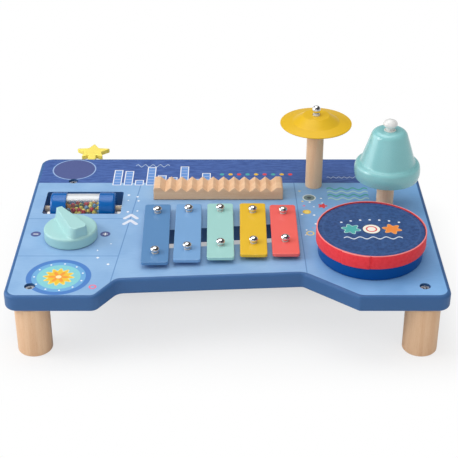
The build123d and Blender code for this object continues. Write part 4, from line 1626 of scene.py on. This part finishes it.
@dataclass
class Knob:
    """Mint knob: a disc with a moulded pointer grip."""

    disc_height: float = 9.5
    disc_edge: float = 2.0
    skirt: float = 1.4
    pad_room: float = 14.8
    turn: float = 122.2
    grip_back: float = -23.4
    grip_tip: float = 24.0
    grip_sunk: float = 1.5
    end_round: float = 8.0
    end_pull: float = 0.75
    half_back: float = 9.0
    half_taper: float = 6.2
    left_out: Place = (3.4, 0.8)
    right_out: Place = (1.2, 7.5)
    right_power: float = 1.3
    left_scoop: float = 1.3
    right_scoop: float = 1.0
    scoop_growth: float = 0.5
    stations: int = 64
    side_steps: int = 14
    voxel: float = 0.4
    soften: int = 12
    soften_factor: float = 0.5

    def grip(self, top: float) -> Shape:
        """Pointer grip along x, its tip towards +x, standing on the disc.

        At a share s from back to tip the flat top reaches 9 to 2.8 mm to each
        side. The left foot lies 3.4 mm further out, and 4.2 mm halfway. The
        right foot lies 1.2 mm further out at the back and 8.7 mm at the tip.
        Between top and foot the side falls as (1 - q) to a power, q being the
        share of the way out. The back end is rounded in plan, by the circle
        that takes the corners off.

        Args:
            top: Height of the grip's top over the disc's foot.

        Returns:
            Its closed surface.
        """
        s = (1 - np.cos(np.linspace(0, pi, self.stations)))[:, None] / 2
        length = self.grip_back + (self.grip_tip - self.grip_back) * s
        near = np.clip(1 - (length - self.grip_back) / self.end_round, 0, 1)
        pull = self.end_round * (1 - np.sqrt(1 - near**2)) * self.end_pull
        half_top = self.half_back - self.half_taper * s - pull
        left_foot = half_top + self.left_out[0] + self.left_out[1] * np.sin(pi * s)
        right_foot = half_top + self.right_out[0] + self.right_out[1] * s**self.right_power
        q = np.linspace(0, 1, self.side_steps)[None, :]
        floor = self.disc_height - self.grip_sunk
        left_fall = floor + (top - floor) * (1 - q) ** (self.left_scoop + self.scoop_growth * s)
        right_fall = floor + (top - floor) * (1 - q) ** (self.right_scoop + self.scoop_growth * s)
        left_out = half_top + (left_foot - half_top) * q
        right_out = half_top + (right_foot - half_top) * q
        left = np.stack([length + 0 * q, left_out, left_fall], -1)
        right = np.stack([length + 0 * q, -right_out, right_fall], -1)[:, ::-1]
        middle = np.stack([length, 0 * s, top + 0 * s], -1)
        under = np.stack([length, 0 * s, floor + 0 * s], -1)
        section = np.concatenate([right, middle, left, under], axis=1)[:, ::-1]
        return sweep(section, closed=False)

    def joined(self, body: Shape) -> bpy.types.Mesh:
        """One closed mesh of shapes that overlap, with softened edges.

        Args:
            body: The shapes' surfaces.

        Returns:
            The mesh.
        """
        rough = bpy.data.objects.new("knob_rough", fill_mesh("knob_rough", body))
        bpy.context.scene.collection.objects.link(rough)
        remesh = rough.modifiers.new("one_body", "REMESH")
        remesh.mode = "VOXEL"
        remesh.voxel_size = self.voxel * MM
        soft = rough.modifiers.new("soft_edges", "SMOOTH")
        soft.iterations = self.soften
        soft.factor = self.soften_factor
        depsgraph = bpy.context.evaluated_depsgraph_get()
        mesh = bpy.data.meshes.new_from_object(rough.evaluated_get(depsgraph))
        bpy.data.objects.remove(rough)
        return mesh

    def build(self, shared: Finishes) -> None:
        """Joins disc and grip into one moulded body and dresses what holds it.

        Args:
            shared: The shared finishes.
        """
        span = Span.of("knob")
        radius, top = span.size[0] / 2, span.size[2]
        room, foot = self.pad_room, -self.skirt
        corners = [
            (0, 0),
            (room, 0),
            (room, foot),
            (radius, foot),
            (radius, self.disc_height),
            (0, self.disc_height),
        ]
        disc = lathe(rounded(corners, [0, 0, 0.5, 0.7, self.disc_edge, 0]), 128)
        body = (disc + self.grip(top).turned(self.turn)).moved(span.foot)
        paint = Lacquer("knob_mint", srgb(169, 215, 214), 0.36, 0.0, 0.3, 0.02, 0.01, 0.5).make()
        add_piece("knob_body", self.joined(body), paint, "knob", ["knob"])
        dress(shared.nylon, "knob_pad")
        dress(shared.steel, "knob_screw", "knob_washer")


@dataclass
class Rasp:
    """Ridged beech block, scraped with the beater."""

    valleys: int = 11
    pitch: float = 10.7
    valley_height: float = 9.4
    shoulder: float = 3.0
    ridge_round: float = 1.0
    foot_round: float = 0.4
    edge: float = 0.7

    def build(self, shared: Finishes) -> None:
        """Draws the ridged outline out along y.

        Args:
            shared: The shared finishes.
        """
        span = Span.of("guiro")
        half_length, depth, top = span.size[0] / 2, span.size[1], span.size[2]
        half_run = self.pitch * self.valleys / 2
        ridges = np.linspace(-half_run, half_run, 2 * self.valleys + 1)
        heights = np.where(np.arange(len(ridges)) % 2, self.valley_height, top)
        ridge_line = np.stack([ridges, heights], -1)[::-1]
        foot = [(-half_length, 0), (half_length, 0)]
        corners = [*foot, (half_length, top), *ridge_line, (-half_length, top)]
        ridge_radii = [self.ridge_round] * len(ridge_line)
        radii = [self.foot_round, self.foot_round, self.shoulder, *ridge_radii, self.shoulder]
        outline = rounded(corners, radii, 5)
        block = prism(outline, -depth / 2, depth / 2, self.edge)
        upright = Shape(block.points[:, [0, 2, 1]] * (1, -1, 1), block.faces)
        shape = upright.moved(span.foot)
        make_piece("rasp_block", shape, shared.beech_across, TABLE, "beech", "guiro")
        dress(shared.steel, "guiro_screws")


@dataclass
class Xylophone:
    """Five painted bars on soft sleeves, held by dome-headed pins."""

    pin_radius: float = 1.6
    neck_radius: float = 2.7
    neck_foot: float = 7.75
    head_radius: float = 4.4
    head_foot: float = 9.8
    head_rim: float = 0.6
    neck_edge: float = 0.2
    neck_flare: float = 0.3
    lip_under: Place = (0.6, 0.05)
    lip_side: Place = (0.15, 0.3)
    bars: tuple[tuple[str, Colour], ...] = (
        ("blue", srgb(92, 140, 190)),
        ("sky", srgb(122, 168, 216)),
        ("mint", srgb(166, 216, 210)),
        ("yellow", srgb(238, 192, 44)),
        ("red", srgb(248, 106, 100)),
    )

    def pin(self, foot: float, top: float) -> Shape:
        """Turned pin: a shank, a thicker neck and a head whose top is half an ellipse.

        Args:
            foot: Height of its foot.
            top: Height of its top.

        Returns:
            Its surface.
        """
        neck, head, edge = self.neck_radius, self.head_radius, self.neck_edge
        angle = np.linspace(0, pi / 2, 12)
        rim = self.head_foot + self.head_rim
        dome = np.stack([head * np.cos(angle), rim + (top - rim) * np.sin(angle)], -1)
        below = [
            (0, foot),
            (self.pin_radius, foot),
            (self.pin_radius, self.neck_foot),
            (neck - edge, self.neck_foot),
            (neck, self.neck_foot + edge),
            (neck, self.head_foot - edge),
            (neck + self.neck_flare, self.head_foot),
            (head - self.lip_under[0], self.head_foot + self.lip_under[1]),
            (head - self.lip_side[0], self.head_foot + self.lip_side[1]),
        ]
        return lathe(np.vstack([below, dome]), 40)

    def build(self, shared: Finishes) -> None:
        """Paints the bars and turns the pins.

        Args:
            shared: The shared finishes.
        """
        for colour, paint in self.bars:
            finish = Lacquer(f"bar_{colour}", paint, 0.3, 0.25, 0.12, 0.03, 0.006)
            dress(finish.make(), f"{colour}_bar")
        dress(shared.rubber, "bar_sleeves")
        span = Span.of("bar_pins")
        pin = self.pin(span.low[2], span.high[2])
        whole, *others = (pin.moved((x, y, 0.0)) for x, y in axes_of("bar_pins"))
        for other in others:
            whole = whole + other
        make_piece("domed_pins", whole, shared.chrome, TABLE, "chrome", "bar_pins")


POST_BORE = 14.0
POST_FOOT = 0.3
POST_MOUTH = 0.1


def turned_post(node: str, edge: float, bore: float, shared: Finishes) -> None:
    """Turned beech post with an eased top edge and a bore for its screw.

    Args:
        node: The post's node.
        edge: Radius of its top edge.
        bore: Radius of the bore in its top.
        shared: The shared finishes.
    """
    shape = bored_pole(Span.of(node), (POST_FOOT, edge, POST_MOUTH), bore, POST_BORE, 72)
    # The posts' beech is the lighter copy that paints light on them.
    make_piece(f"{node}_turned", shape, shared.beech_post_painted_light, TABLE, "beech", node)


@dataclass
class CymbalStand:
    """Painted cymbal on a felt washer and a bush, under a ball-headed screw."""

    foot_radius: float = 23.6
    crown_radius: float = 13.4
    hole_radius: float = 4.0
    wall: float = 1.2
    dish: float = 1.8
    ball_radius: float = 4.25
    collar_radius: float = 2.3
    shank_radius: float = 2.0
    collar_drop: float = 3.8
    bends: tuple[float, ...] = (0.2, 2.0, 2.4, 0.5)

    def cymbal(self) -> Shape:
        """Spun sheet: a shallow cone, a steeper foot and a flat crown, 1.2 mm thick.

        The upper line is the lower one moved up by the wall, so the sheet
        keeps its upright thickness.

        Returns:
            Its surface, in its place.
        """
        span = Span.of("cymbal")
        top = span.size[2] - self.wall
        lower = [
            (self.hole_radius, top),
            (self.crown_radius, top),
            (self.foot_radius, self.dish),
            (span.size[0] / 2, 0.0),
        ]
        upper = [(r, h + self.wall) for r, h in reversed(lower)]
        return stood(span, [*lower, *upper], [*self.bends, *self.bends[::-1]], 144, 8)

    def screw(self, tall: float) -> Shape:
        """Shank, collar and ball in one turned piece.

        Args:
            tall: Its height.

        Returns:
            Its surface, from the height zero.
        """
        centre = tall - self.ball_radius
        start = -np.arccos(self.collar_radius / self.ball_radius)
        angle = np.linspace(start, pi / 2, 20)
        sphere = np.stack([np.cos(angle), np.sin(angle)], -1) * self.ball_radius + (0, centre)
        collar = centre - self.collar_drop
        shank = [(0, 0), (self.shank_radius, 0), (self.shank_radius, collar)]
        return lathe(np.vstack([shank, (self.collar_radius, collar), sphere]), 56)

    def build(self, shared: Finishes) -> None:
        """Builds the stand from the post up.

        Args:
            shared: The shared finishes.
        """
        turned_post("cymbal_post", 1.2, 2.05, shared)
        paint = Lacquer("cymbal_yellow", srgb(236, 190, 36), 0.34, 0.08, 0.12, 0.04, 0.01, 0.22).make()
        make_piece("cymbal_disc", self.cymbal(), paint, "cymbal", "cymbal_yellow", "cymbal")
        span = Span.of("cymbal_screw")
        shape = self.screw(span.size[2]).moved(span.foot)
        make_piece("ball_screw", shape, shared.chrome, TABLE, "chrome", "cymbal_screw")
        dress(shared.felt, "cymbal_felt")
        dress(shared.nylon, "cymbal_bush")


@dataclass
class PushBell:
    """Bell dome with its push button, plunger, spring, frame and hammer."""

    wall: float = 1.5
    band_height: float = 7.0
    lip_in: float = 1.6
    shoulder: float = 16.0
    shoulder_in: float = 1.6
    slope_wall: float = 0.73
    side_wall: float = 0.87
    outer_rounds: tuple[float, ...] = (0.6, 18.0, 4.4, 2.6, 7.0, 0.3)
    inner_rounds: tuple[float, ...] = (0.3, 5.5, 4.1, 2.9, 16.5, 0.6)
    body_radius: float = 27.1
    crown_radius: float = 16.2
    hole_radius: float = 5.1
    neck_radius: float = 4.0
    button_height: float = 9.4
    button_under: float = 3.9
    button_from: float = 0.62
    spring_radius: float = 2.9
    spring_wire: float = 0.3
    spring_turns: int = 4
    spring_gap: float = 0.1
    press: float = 2.5

    def dome(self) -> Shape:
        """Pressed dome: a rolled lip, a shoulder, a tapering body and a flat crown.

        The inner line is the outer one moved inwards by the wall. Where a
        corner joins two slopes, only a share of the wall goes across.

        Returns:
            Its surface, in its place.
        """
        span = Span.of("bell_dome")
        lip, top, wall = span.size[0] / 2, span.size[2], self.wall
        outer = [
            (lip - self.lip_in, 0),
            (lip, self.band_height),
            (lip - self.shoulder_in, self.shoulder),
            (self.body_radius, self.shoulder),
            (self.crown_radius, top),
            (self.hole_radius, top),
        ]
        inner = [
            (self.hole_radius, top - wall),
            (self.crown_radius - wall * self.slope_wall, top - wall),
            (self.body_radius - wall * self.slope_wall, self.shoulder - wall),
            (lip - self.shoulder_in - wall * self.side_wall, self.shoulder - wall),
            (lip - wall, self.band_height),
            (lip - self.lip_in - wall, 0),
        ]
        return stood(span, [*outer, *inner], [*self.outer_rounds, *self.inner_rounds], 144, 8)

    def button(self) -> Shape:
        """Flattened ball on a neck: half an ellipse above, part of a flatter one below.

        Returns:
            Its surface, in its place.
        """
        span = Span.of("bell_button")
        radius, tall = span.size[0] / 2, span.size[2]
        waist = tall - self.button_height / 2
        angle = np.linspace(-pi / 2 + self.button_from, pi / 2, 26)
        drop = np.where(angle < 0, self.button_under, self.button_height / 2)
        cap = np.stack([radius * np.cos(angle), waist + drop * np.sin(angle)], -1)
        stem = [(0, 0), (self.neck_radius, 0), (self.neck_radius, cap[0, 1])]
        return lathe(np.vstack([stem, cap]), 72).moved(span.foot)

    def spring(self, shared: Finishes) -> None:
        """Return spring under the button, at its rest length.

        Args:
            shared: The shared finishes.
        """
        span, wire = Span.of("bell_spring"), self.spring_wire
        room = span.size[2] - self.spring_gap
        shape = coil(self.spring_radius, wire, self.spring_turns, room - 2 * wire)
        shape = shape.moved(span.foot + (0, 0, wire))
        piece = make_piece("return_spring", shape, shared.steel, TABLE, "zinc_steel", "bell_spring")
        foot = tuple(to_frame(span.foot).tolist())
        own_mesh(piece)

    def build(self, shared: Finishes) -> None:
        """Builds the bell from the post up.

        Args:
            shared: The shared finishes.
        """
        turned_post("bell_post", 1.0, 1.55, shared)
        mint = Lacquer("bell_mint", srgb(144, 208, 211), 0.28, 0.7, 0.14, 0.03, 0.008).make()
        white = Lacquer("button_white", srgb(240, 240, 238), 0.28, 0.5, 0.1, 0.01, 0.004).make()
        make_piece("bell_cup", self.dome(), mint, TABLE, "bell_mint", "bell_dome")
        make_piece("push_button", self.button(), white, "button", "white_button", "bell_button")
        self.spring(shared)
        dress(shared.nylon, "bell_bush")
        dress(
            shared.steel,
            "bell_frame",
            "bell_frame_screw",
            "bell_plunger",
            "bell_striker",
            "striker_pin",
            "post_screws",
        )


@dataclass
class Drum:
    """Blue wooden drum with a printed film held by a red felt band."""

    edge: float = 1.8
    bore_radius: float = 44.0
    film: float = 1.0
    film_round: float = 1.2
    sunk: float = 0.35
    flat_in: float = 6.0
    slope: tuple[Place, ...] = ((1.5, 0.0), (0.0, 0.08), (-2.0, 0.28))
    band_round: float = 0.45
    lap: float = 0.8
    lap_from: float = -126.7
    lap_to: float = -97.5
    lap_step: float = 0.3
    dip_before: tuple[float, float, float] = (0.8, -0.9, 0.6)
    dip_after: tuple[float, float, float] = (1.6, 1.1, 0.8)
    ripples: tuple[tuple[float, int, float], ...] = ((0.12, 5, 0.4), (0.08, 11, 0.0))
    ripple_share: float = 0.8

    def lap_height(self, degrees: np.ndarray) -> np.ndarray:
        """Twice the share of the lap that the band has at an angle.

        It is a rise and a fall by hyperbolic tangents at the lap's two ends,
        less a bell curve just outside each end. A bell curve has a depth, a
        distance from its end in degrees and a width in degrees.

        Args:
            degrees: The angles.

        Returns:
            Its value at each angle.
        """
        rise = np.tanh((degrees - self.lap_from) / self.lap_step)
        step = rise - np.tanh((degrees - self.lap_to) / self.lap_step)
        for end, dip in ((self.lap_to, self.dip_after), (self.lap_from, self.dip_before)):
            depth, offset, width = dip
            step = step - depth * np.exp(-(((degrees - end - offset) / width) ** 2))
        return step

    def band(self) -> Shape:
        """Felt band whose ends overlap at the front.

        The outer radius grows by the lap between two angles and sinks a
        little just outside them, where the glued ends pull the felt in. Two
        soft waves move the rims up and down by less than a tenth of a
        millimetre, as on cut felt.

        Returns:
            Its surface, in its place.
        """
        span = Span.of("drum_band")
        outer, tall = span.size[0] / 2, span.size[2]
        inner = Span.of("drum_skin").size[0] / 2
        angle = np.linspace(0, 2 * pi, 1200, endpoint=False)[None]
        step = self.lap_height(np.degrees(angle) - 360 * (angle > pi))
        corners = [(inner, 0), (outer, 0), (outer, tall), (inner, tall)]
        profile = rounded(corners, [0, self.band_round, self.band_round, 0], 4)
        radius, height = profile[:, :1], profile[:, 1:]
        share = (radius - inner) / (outer - inner)
        radius = radius + share * self.lap * step / 2
        wave = sum(size * np.sin(count * angle + shift) for size, count, shift in self.ripples)
        height = height + wave * (height / tall - 0.5) * self.ripple_share
        points = np.stack([radius * np.cos(angle), radius * np.sin(angle), height + 0 * angle], -1)
        return sweep(points, closed=True).moved(span.foot)

    def skin(self) -> Shape:
        """Stretched film: sunk a little inside the shell's rim, then down over its side.

        Returns:
            Its surface, in its place.
        """
        span = Span.of("drum_skin")
        radius, tall = span.size[0] / 2, span.size[2]
        inside, flat = radius - self.film, self.bore_radius - self.flat_in
        shoulder = rounded([(radius, 0), (radius, tall), (0, tall)], [0, self.film_round, 0], 6)
        outline = [
            (inside, 0),
            (radius, 0),
            *shoulder[1:-1].tolist(),
            *((self.bore_radius + out, tall - drop) for out, drop in self.slope),
            (flat, tall - self.sunk),
            (0, tall - self.sunk),
            (0, tall - self.film - self.sunk),
            (flat, tall - self.film - self.sunk),
            (self.bore_radius, tall - self.film),
            (inside, tall - self.film),
        ]
        return lathe(np.array(outline), 144).moved(span.foot)

    def build(self, shared: Finishes) -> None:
        """Builds the drum from its shell up.

        Args:
            shared: The shared finishes.
        """
        shell, skin = Span.of("drum_shell"), Span.of("drum_skin")
        radius, tall = shell.size[0] / 2, shell.size[2]
        corners = [(self.bore_radius, 0), (radius, 0), (radius, tall), (self.bore_radius, tall)]
        ring = stood(shell, corners, [0.3, self.edge, 0.6, 0.4], 144)
        blue = Lacquer("drum_blue", srgb(0, 80, 156), 0.36, 0.0, 0.15, 0.05, 0.01, 0.2).make()
        make_piece("drum_ring", ring, blue, TABLE, "drum_blue", "drum_shell")
        print_finish = PrintedSkin(tuple(skin.middle[:2].tolist()), skin.size[0] / 2)
        make_piece("drum_film", self.skin(), print_finish.make(), TABLE, "skin_navy", "drum_skin")
        red = Fuzz(
            "red_felt",
            srgb(238, 54, 64),
            srgb(248, 70, 78),
            nap=0.03,
            # Pale pink painted highlight along the band's top rim.
            highlight_above=Span.of("drum_band").high[2] - 0.1,
            rim=srgb(250, 140, 138),
        )
        make_piece("felt_band", self.band(), red.make(), TABLE, "band_red", "drum_band")
        dress(shared.beech_across, "drum_base")
        dress(shared.steel, "drum_screws")


@dataclass
class Beater:
    """Yellow wooden star with a flat neck, on a beech stick."""

    outer: float = 20.2
    inner: float = 9.6
    squash: float = 0.85
    tip_round: float = 1.0
    notch_round: float = 1.5
    edge: float = 0.9
    neck_half: float = 4.2
    neck_join: float = 0.8
    neck_corner: float = 0.3
    tenon_radius: float = 1.5
    tenon_length: float = 12.0

    def star(self, span: Span) -> np.ndarray:
        """Outline of a flattened star with one point towards +y and the neck at the back.

        The star's corners lie alternately on the outer and the inner radius,
        a tenth of a turn apart, and its notch at the back gives way to the
        neck: where a side from the notch to a tip reaches the neck's half
        width, it turns back along the neck.

        Args:
            span: Box of the star's node.

        Returns:
            The outline about the star's own middle.
        """
        angle = radians(90) + np.arange(10) * pi / 5
        reach = np.where(np.arange(10) % 2, self.inner, self.outer)
        corners = np.stack([reach * np.cos(angle), self.squash * reach * np.sin(angle)], -1)
        centre_y = span.high[1] - rounded(corners, self.tip_round, 6)[:, 1].max()
        neck_end = span.low[1] - centre_y
        notch, tip = corners[5], corners[4]
        share = self.neck_half / (notch[0] - tip[0])
        join_y = notch[1] + share * (tip[1] - notch[1])
        neck = [
            (-self.neck_half, join_y),
            (-self.neck_half, neck_end),
            (self.neck_half, neck_end),
            (self.neck_half, join_y),
        ]
        whole = np.vstack([corners[:5], neck, corners[6:]])
        side_radii = [self.tip_round, self.notch_round] * 2
        neck_radii = [self.neck_join, self.neck_corner, self.neck_corner, self.neck_join]
        radii = [*side_radii, self.tip_round, *neck_radii, *side_radii]
        return rounded(whole, radii, 6) + (0.0, centre_y)

    def build(self, shared: Finishes) -> None:
        """Draws the star out upwards and turns the stick.

        Args:
            shared: The shared finishes.
        """
        span, stick = Span.of("beater_star"), Span.of("beater_stick")
        star = prism(self.star(span), span.low[2], span.high[2], self.edge, 5)
        yellow = Lacquer("star_yellow", srgb(255, 233, 112), 0.4, 0.0, 0.15, 0.02, 0.01, 0.25).make()
        shape = star.moved((span.middle[0], 0.0, 0.0))
        make_piece("star_head", shape, yellow, "beater", "star_yellow", "beater_star")
        radius, thin = stick.size[0] / 2, self.tenon_radius
        shoulder = stick.high[1] - self.tenon_length
        corners = [
            (0, stick.low[1]),
            (radius, stick.low[1]),
            (radius, shoulder),
            (thin, shoulder),
            (thin, stick.high[1]),
            (0, stick.high[1]),
        ]
        outline = rounded(corners, [0, 0.9, 0.2, 0, 0.2, 0])
        turned = lathe(outline, 40, Axis.Y).moved((stick.middle[0], 0.0, stick.middle[2]))
        make_piece("turned_stick", turned, shared.beech_deep, "beater", "beech", "beater_stick")


# ---- studio ------------------------------------------------------------------
Point = tuple[float, float, float]


@dataclass(frozen=True)
class Lamp:
    """Square soft lamp: its name, its place and side in metres, and its power in watts."""

    name: str
    at: Point
    side: float
    power: float


@dataclass(frozen=True)
class Softbox:
    """Bright spot in the reflections: its direction, the cosines at its edge and core, its strength."""

    towards: Point
    edge: float
    core: float
    strength: float


@dataclass
class Studio:
    """Pale floor, white surroundings, soft lamps and the camera."""

    camera_at: Point = (1.4, -996.5, 577.0)
    camera_tilt: float = 59.53
    lens: float = 92.0
    sensor: float = 36.0
    floor_half: float = 6.0
    floor_colour: Colour = (0.88, 0.88, 0.88, 1.0)
    floor_white: float = 0.7
    # Painted shade: glow taken away under the back middle of the table, and where along y and across x.
    floor_painted_shade: float = 0.3
    floor_shade_along_y: Place = (-0.06, 0.04)
    floor_shade_across_x: Place = (0.1, 0.17)
    fade: Place = (0.0, 0.07)
    half_table: Place = (0.19, 0.125)
    sky_low: float = 0.3
    sky_rise: float = 0.5
    gloss_dim: float = 0.07
    gloss_horizon: float = 0.35
    horizon_fade: Place = (0.16, 0.34)
    softboxes: tuple[Softbox, ...] = (
        Softbox((-0.95, 0.2, 0.24), 0.86, 0.94, 2.6),
        Softbox((-0.12, 0.42, 0.9), 0.86, 0.94, 1.8),
    )
    lamps: tuple[Lamp, ...] = (
        Lamp("key_lamp", (-1.0, -0.2, 0.75), 0.6, 5.5),
        Lamp("top_lamp", (-0.15, 0.2, 1.3), 0.8, 3.2),
        Lamp("front_lamp", (-0.3, -1.3, 0.6), 1.2, 1.8),
    )

    def floor(self) -> None:
        """Plain pale floor, nearly white for the camera and quite white away from the table.

        The share of white light that the camera sees is lowest under the back
        of the table, which paints a deeper shade there. It grows to one at a
        short distance from the table's outline.
        """
        mesh = bpy.data.meshes.new("floor")
        half = self.floor_half
        corners = [(-half, -half, 0), (half, -half, 0), (half, half, 0), (-half, half, 0)]
        mesh.from_pydata(corners, [], [(0, 1, 2, 3)])
        floor = bpy.data.objects.new("floor", mesh)
        bpy.context.scene.collection.objects.link(floor)
        graph = Graph.material("studio_floor")
        where = graph.node("ShaderNodeTexCoord", output="Object")
        x, y, _ = graph.axes(graph.vector("SUBTRACT", where, (ORIGIN[0], ORIGIN[1], 0.0)))
        beyond = graph.outside(abs(x) - self.half_table[0], abs(y) - self.half_table[1])
        away = graph.band(beyond, *self.fade)
        # Painted shade: less white glow under the back middle of the table, so the floor's shadow there
        # comes out darker.
        deep = graph.band(y, *self.floor_shade_along_y) * (1 - graph.band(abs(x), *self.floor_shade_across_x))
        seen = self.floor_white - self.floor_painted_shade * deep
        white = seen + (1 - seen) * away
        path = graph.node("ShaderNodeLightPath", output="Is Camera Ray")
        matt = graph.node("ShaderNodeBsdfDiffuse", {}, {"Color": self.floor_colour})
        glow = graph.node("ShaderNodeEmission", {}, {"Color": WHITE, "Strength": 1.0})
        mesh.materials.append(graph.surface(graph.blend(white * path, matt, glow)))

    def surroundings(self) -> None:
        """White world: full strength where it is seen, softer as a light.

        As a light it grows from the horizon up, like a large overhead softbox.
        Gloss and metal meet it dim, paler at the horizon, and bright where a
        softbox stands: one on the left and one overhead.
        """
        graph = Graph(bpy.data.worlds.new("studio"))
        direction = graph.node("ShaderNodeTexCoord", output="Generated")
        up = graph.axes(direction)[2]
        light = self.sky_low + self.sky_rise * graph.math("MAXIMUM", up, 0.0)
        gloss = self.gloss_dim + self.gloss_horizon * (1 - graph.band(abs(up), *self.horizon_fade))
        for box in self.softboxes:
            facing = graph.vector("DOT_PRODUCT", direction, box.towards, output=1)
            gloss = gloss + box.strength * graph.band(facing, box.edge, box.core)
        direct = graph.node("ShaderNodeLightPath", output="Is Camera Ray")
        seen = graph.math("MAXIMUM", direct, direct.also("Is Transmission Ray"))
        strength = light + direct.also("Is Glossy Ray") * (gloss - light)
        strength = strength + seen * (1 - strength)
        background = graph.node("ShaderNodeBackground", {}, {"Color": WHITE, "Strength": strength})
        graph.node("ShaderNodeOutputWorld", {}, {"Surface": background})
        bpy.context.scene.world = graph.owner

    def lamp(self, lamp: Lamp) -> None:
        """Sets a lamp up, facing the middle of the board.

        Args:
            lamp: The lamp.
        """
        data = bpy.data.lights.new(lamp.name, "AREA")
        data.shape = "SQUARE"
        data.size = lamp.side
        data.energy = lamp.power
        made = bpy.data.objects.new(lamp.name, data)
        made.location = lamp.at
        direction = type(made.location)(ORIGIN - np.array(lamp.at))
        made.rotation_euler = direction.to_track_quat("-Z", "Y").to_euler()
        bpy.context.scene.collection.objects.link(made)

    def camera(self) -> None:
        """Camera in front of the board, looking down at it."""
        data = bpy.data.cameras.new("camera")
        data.sensor_width = self.sensor
        data.lens = self.lens
        camera = bpy.data.objects.new("camera", data)
        camera.location = to_frame(np.array(self.camera_at))
        camera.rotation_euler = (radians(self.camera_tilt), 0.0, 0.0)
        bpy.context.scene.collection.objects.link(camera)
        bpy.context.scene.camera = camera

    def build(self) -> None:
        """Sets the whole studio up."""
        self.floor()
        self.surroundings()
        for lamp in self.lamps:
            self.lamp(lamp)
        self.camera()
        bpy.context.scene.view_settings.view_transform = "Standard"


def main() -> None:
    """Builds the studio and every sub-assembly in order."""
    logging.basicConfig(level=logging.INFO, format="%(name)s: %(message)s")
    Studio().build()
    shared = Finishes()
    Board().build()
    Legs().build(shared)
    BeadRoller().build(shared)
    Knob().build(shared)
    Rasp().build(shared)
    Xylophone().build(shared)
    CymbalStand().build(shared)
    PushBell().build(shared)
    Drum().build(shared)
    Beater().build(shared)


if __name__ == "__main__":
    main()
